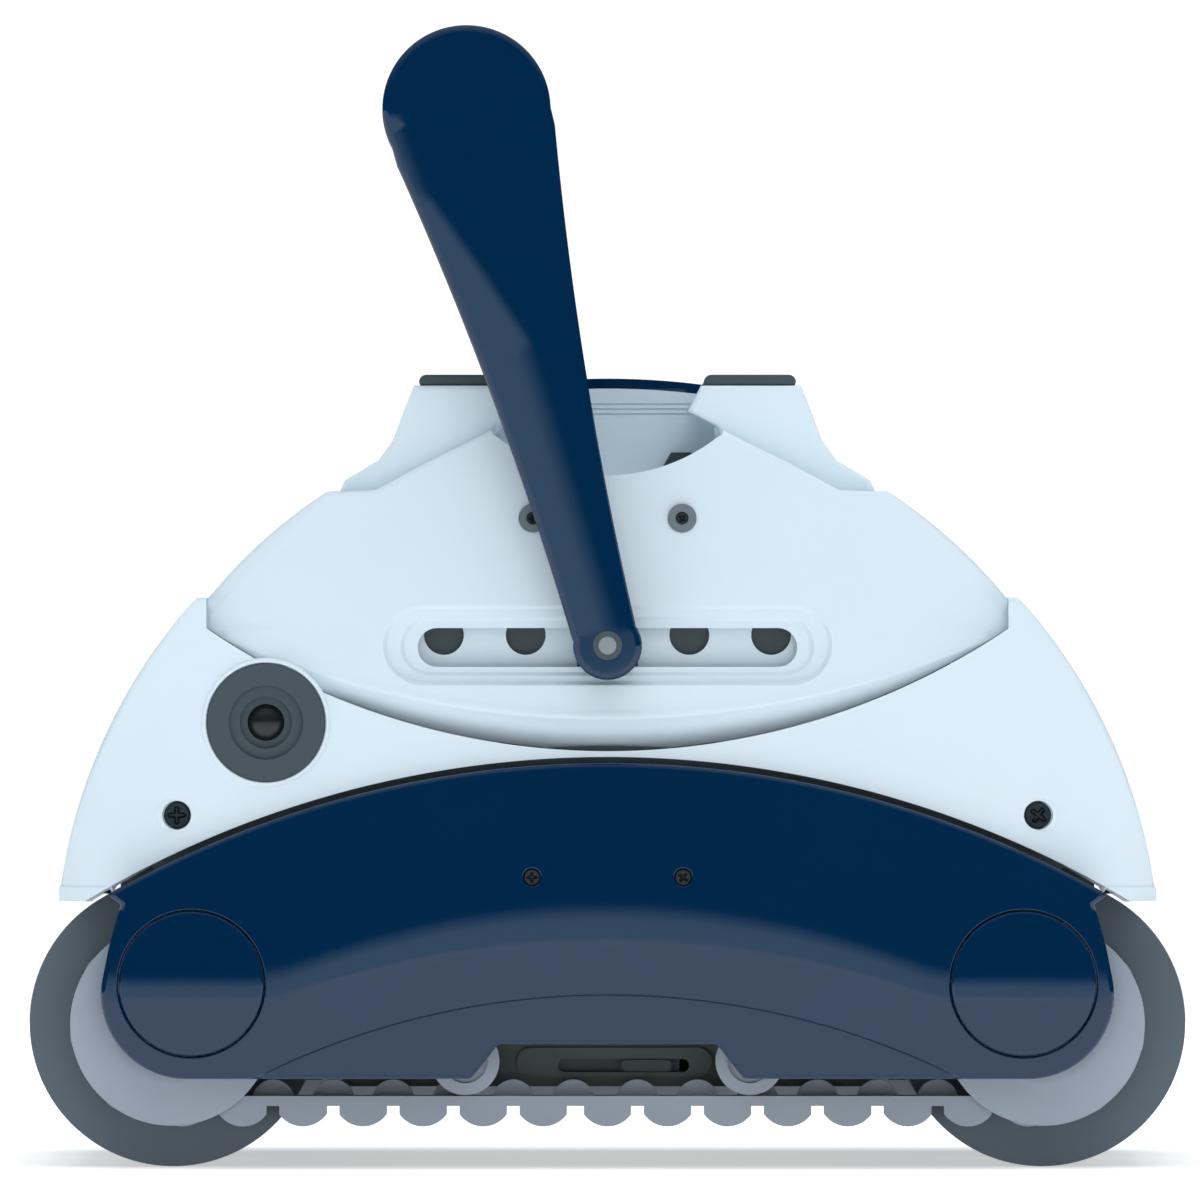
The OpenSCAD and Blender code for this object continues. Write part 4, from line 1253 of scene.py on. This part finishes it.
@dataclass
class Screws:
    """Cross-head screws in the side panels, the skirt and the side walls."""

    groove: float = 0.55
    depth: float = 1.1
    sets: tuple[tuple[str, float, float, float, float], ...] = (
        ("panel_screws", 27.2, 105.0, 2.95, 193.45), ("skirt_screws", 155.2, 127.3, 4.9, 182.9),
        ("wall_screws", 26.9, 234.3, 2.25, 177.5),
    )

    def head(self, radius: float, face: float) -> Patchwork:
        """Head of a screw with a cross recess, facing the near side.

        Args:
            radius: Radius of the head.
            face: Distance of its face from the middle plane.

        Returns:
            The head, about the Y axis.
        """
        g, r = self.groove * radius / 3, radius * 0.66
        corner = ((r, -g), (r, g), (g, g), (g, r), (-g, r), (-g, g), (-r, g), (-r, -g), (-g, -g), (-g, -r), (g, -r),
                  (g, -g))
        cross = dense(np.array(corner), radius / 6)

        def front(points: np.ndarray) -> np.ndarray:
            """Flat face with the cross sunk into it."""
            sunk = np.where(inside(points, cross), np.minimum(distance(points, cross) / (g * 0.7), 1), 0)
            return face - self.depth * radius / 3 * sunk

        work = Patchwork()
        Plaque(circle(0, 0, radius, 40), front, face - 1.4, radius * 0.14, rings=[cross], spacing=radius / 9
               ).build_into(work)
        return work

    def make(self) -> None:
        """Builds every set of screws on both sides and dresses it."""
        for name, x, z, radius, face in self.sets:
            row = Repeat(2, (-x, 0.0, z), (2 * x, 0.0, 0.0), 37.0)
            near = self.head(radius, face)
            far = self.head(radius, face).mirrored()
            for side, unit in ((Side.RIGHT, near), (Side.LEFT, far)):
                made = row.spread(unit, f"{name}_{side.word}_heads", BLACK_STEEL)
                dress(made, "root", [name] if side is Side.RIGHT else [])


@dataclass
class TopPads:
    """Rubber pads on the four towers, rounded all along their upper edges."""

    x: float = 51.45
    half: float = 16.6
    low: float = 282.25
    high: float = 286.15
    near: float = 102.1
    far: float = 163.9
    corner: float = 2.6

    def make(self) -> None:
        """Builds the four pads and dresses them."""
        r = self.corner
        left = arc(self.x - self.half + r, self.high - r, r, 180, 90)
        right = arc(self.x + self.half - r, self.high - r, r, 90, 0)
        foot = np.array([[self.x + self.half - 0.4, self.low], [self.x - self.half + 0.4, self.low]])
        work = Patchwork()
        Block(dense(np.concatenate([left, right, foot]), 2.0), self.near, self.far, 1.1).build_into(work)
        work.twin((-1.0, 1.0, 1.0))
        work.twin((1.0, -1.0, 1.0))
        dress(work.build("standing_pads", DARK_RUBBER), "root", ["top_pads"])


@dataclass
class ShadeSheets:
    """Painted shade: dark strips behind the handle's notches and the arch gap, which close the view into the body and
    stand in for the shade inside it.
    """

    slot_z: float = 188.0
    slot_length: float = 160.0
    slot_width: float = 26.0
    slot_front: float = 169.9
    slot_back: float = 168.6
    arch_z: float = -218.7
    arch_r: tuple[float, float] = (360.5, 371.0)
    arch_reach: float = 26.6
    arch_front: float = 181.6
    arch_back: float = 180.7

    def pair(self, name: str, loop: Loop, front: float, back: float, edge: float) -> None:
        """Builds a flat dark strip of painted shade on each side and dresses it.

        Args:
            name: Name of the strips, before the side's word.
            loop: Outline.
            front: Distance of the outer face from the middle plane.
            back: Distance of the inner face.
            edge: Radius of the outer edges.
        """
        for side in Side:
            work = Patchwork()
            Plaque(loop, lambda p: np.full(len(p), front), back, edge, spacing=9.0).build_into(work)
            if side is Side.LEFT:
                work = work.mirrored()
            # The dark finish on these strips is painted shade for the dark inside of the body.
            dress(work.build(f"{name}_{side.word}", DARK_NYLON_AND_SHADE), "root")

    def make(self) -> None:
        """Builds the painted-shade strips behind the slots and then those behind the arch gap."""
        slot = oval(0, self.slot_z, self.slot_length, self.slot_width)
        self.pair("slot_shade_sheet", slot, self.slot_front, self.slot_back, 0.4)
        inner_r, outer_r = self.arch_r
        upper = arc(0, self.arch_z, outer_r, 90 + self.arch_reach, 90 - self.arch_reach)
        lower = arc(0, self.arch_z, inner_r, 90 - self.arch_reach, 90 + self.arch_reach)
        self.pair("arch_shade_sheet", np.concatenate([upper, lower]), self.arch_front, self.arch_back, 0.3)


# ------------------------------------------------------------------------------------------------ studio


@dataclass
class Studio:
    """Floor, backdrop light, lamps and camera."""

    centre_x: float = -0.0027
    centre_z: float = 0.2048
    view_width: float = 0.432
    side_y: float = -0.19
    lens: float = 800.0
    aim: tuple[float, float, float] = (0.0, 0.0, 0.15)
    lamps: tuple[tuple[str, tuple[float, float, float], float, float], ...] = (
        ("top", (0.0, -0.3, 2.4), 2.6, 30),
        ("near", (0.3, -3.2, 1.3), 2.4, 23),
        ("far", (-0.3, 3.2, 1.3), 2.4, 23),
        ("rear", (-3.0, 0.0, 1.2), 2.0, 14),
        ("front", (3.0, 0.0, 1.2), 2.0, 14),
    )

    def camera(self) -> None:
        """Makes the camera, square on to the right-hand side through a very long lens."""
        data = bpy.data.cameras.new("camera")
        data.lens = self.lens
        data.sensor_width = 36.0
        far = self.view_width * self.lens / 36.0
        data.clip_start, data.clip_end = 0.1, 60.0
        made = bpy.data.objects.new("camera", data)
        bpy.context.scene.collection.objects.link(made)
        made.location = (self.centre_x, self.side_y - far, self.centre_z)
        made.rotation_euler = (math.radians(90), 0, 0)
        bpy.context.scene.camera = made

    def lamp(self, name: str, at: tuple[float, float, float], size: float, power: float) -> None:
        """Hangs a square soft light that no glossy surface mirrors.

        Args:
            name: Name of the lamp.
            at: Place in metres.
            size: Width of its face in metres.
            power: Watts.
        """
        data = bpy.data.lights.new(name, "AREA")
        data.shape, data.size, data.energy = "SQUARE", size, power
        made = bpy.data.objects.new(name, data)
        bpy.context.scene.collection.objects.link(made)
        made.location = at
        made.rotation_euler = (Vector(self.aim) - Vector(at)).to_track_quat("-Z", "Y").to_euler()
        made.visible_glossy = False
        made.visible_camera = False

    def world(self) -> None:
        """White cove for the camera; dark above and bright below for everything that mirrors it."""
        world = bpy.data.worlds.new("cove")
        world.use_nodes = True
        tree = world.node_tree
        tree.nodes.clear()
        way = add_node(tree, "ShaderNodeTexCoord").outputs["Generated"]
        split = add_node(tree, "ShaderNodeSeparateXYZ", {"Vector": way})
        ramp = add_node(tree, "ShaderNodeValToRGB", {"Fac": add_node(
            tree, "ShaderNodeMapRange", {"Value": split.outputs["Z"]}).outputs["Result"]})
        ramp.inputs[0].links[0].from_node.inputs["From Min"].default_value = -1.0
        stops = ramp.color_ramp.elements
        stops[0].position, stops[0].color = 0.0, (0.7, 0.98, 1.12, 1)
        stops[1].position, stops[1].color = 1.0, (0.6, 0.62, 0.65, 1)
        for at, shade in ((0.498, 1.15), (0.502, 0.004), (0.62, 0.02), (0.8, 0.35)):
            stop = stops.new(at)
            stop.color = (shade * 0.72, shade, shade * 1.12, 1)
        room = add_node(tree, "ShaderNodeBackground", {"Color": ramp.outputs["Color"]}, Strength=1.0)
        white = add_node(tree, "ShaderNodeBackground", Color=(1, 1, 1, 1), Strength=1.05)
        seen = add_node(tree, "ShaderNodeLightPath").outputs["Is Camera Ray"]
        mixed = add_node(tree, "ShaderNodeMixShader", {0: seen, 1: room.outputs[0], 2: white.outputs[0]})
        add_node(tree, "ShaderNodeOutputWorld", {"Surface": mixed.outputs[0]})
        bpy.context.scene.world = world

    def floor(self) -> None:
        """Lays a wide pale floor, a little self-lit so that it stays even."""
        n, r = 96, 3.2
        a = np.radians(np.arange(n) * 360 / n)
        rim = np.stack([r * np.cos(a), r * np.sin(a), np.zeros(n)], 1)
        mesh = bpy.data.meshes.new("floor")
        mesh.from_pydata([(0.0, 0.0, 0.0), *rim.tolist()], [], [(0, i + 1, (i + 1) % n + 1) for i in range(n)])
        material = bpy.data.materials.new("painted studio floor")
        material.use_nodes = True
        shader = material.node_tree.nodes["Principled BSDF"]
        shader.inputs["Base Color"].default_value = (0.9, 0.91, 0.92, 1)
        shader.inputs["Roughness"].default_value = 0.9
        shader.inputs["Emission Color"].default_value = (1, 1, 1, 1)
        shader.inputs["Emission Strength"].default_value = 0.5
        mesh.materials.append(material)
        made = bpy.data.objects.new("floor", mesh)
        bpy.context.scene.collection.objects.link(made)
        made.location.z = -0.0002

    def make(self) -> None:
        """Builds the whole studio."""
        bpy.context.scene.view_settings.view_transform = "Standard"
        self.camera()
        self.world()
        self.floor()
        for name, at, size, power in self.lamps:
            self.lamp(name, at, size, power)


def finish_frame() -> None:
    """Gives every CAD node that still shows the finish of its material slot."""
    slots = {row["node"]: row["material_slot"] for row in frame["record"]["subparts"]}
    for name, node in frame["nodes"].items():
        material = NODE_FINISH.get(name, SLOT_FINISH[slots[name]]).material()
        if not node.data.materials:
            node.data.materials.append(material)
        for slot in node.material_slots:
            slot.material = material


def main() -> None:
    """Builds the studio and every sub-assembly in order."""
    logging.basicConfig(level=logging.INFO, format="%(name)s: %(message)s")
    Studio().make()
    finish_frame()
    LowerSkirt().make()
    UpperShell().make()
    SidePanels().make()
    Handle().make()
    Screws().make()
    TopPads().make()
    ShadeSheets().make()


if __name__ == "__main__":
    main()
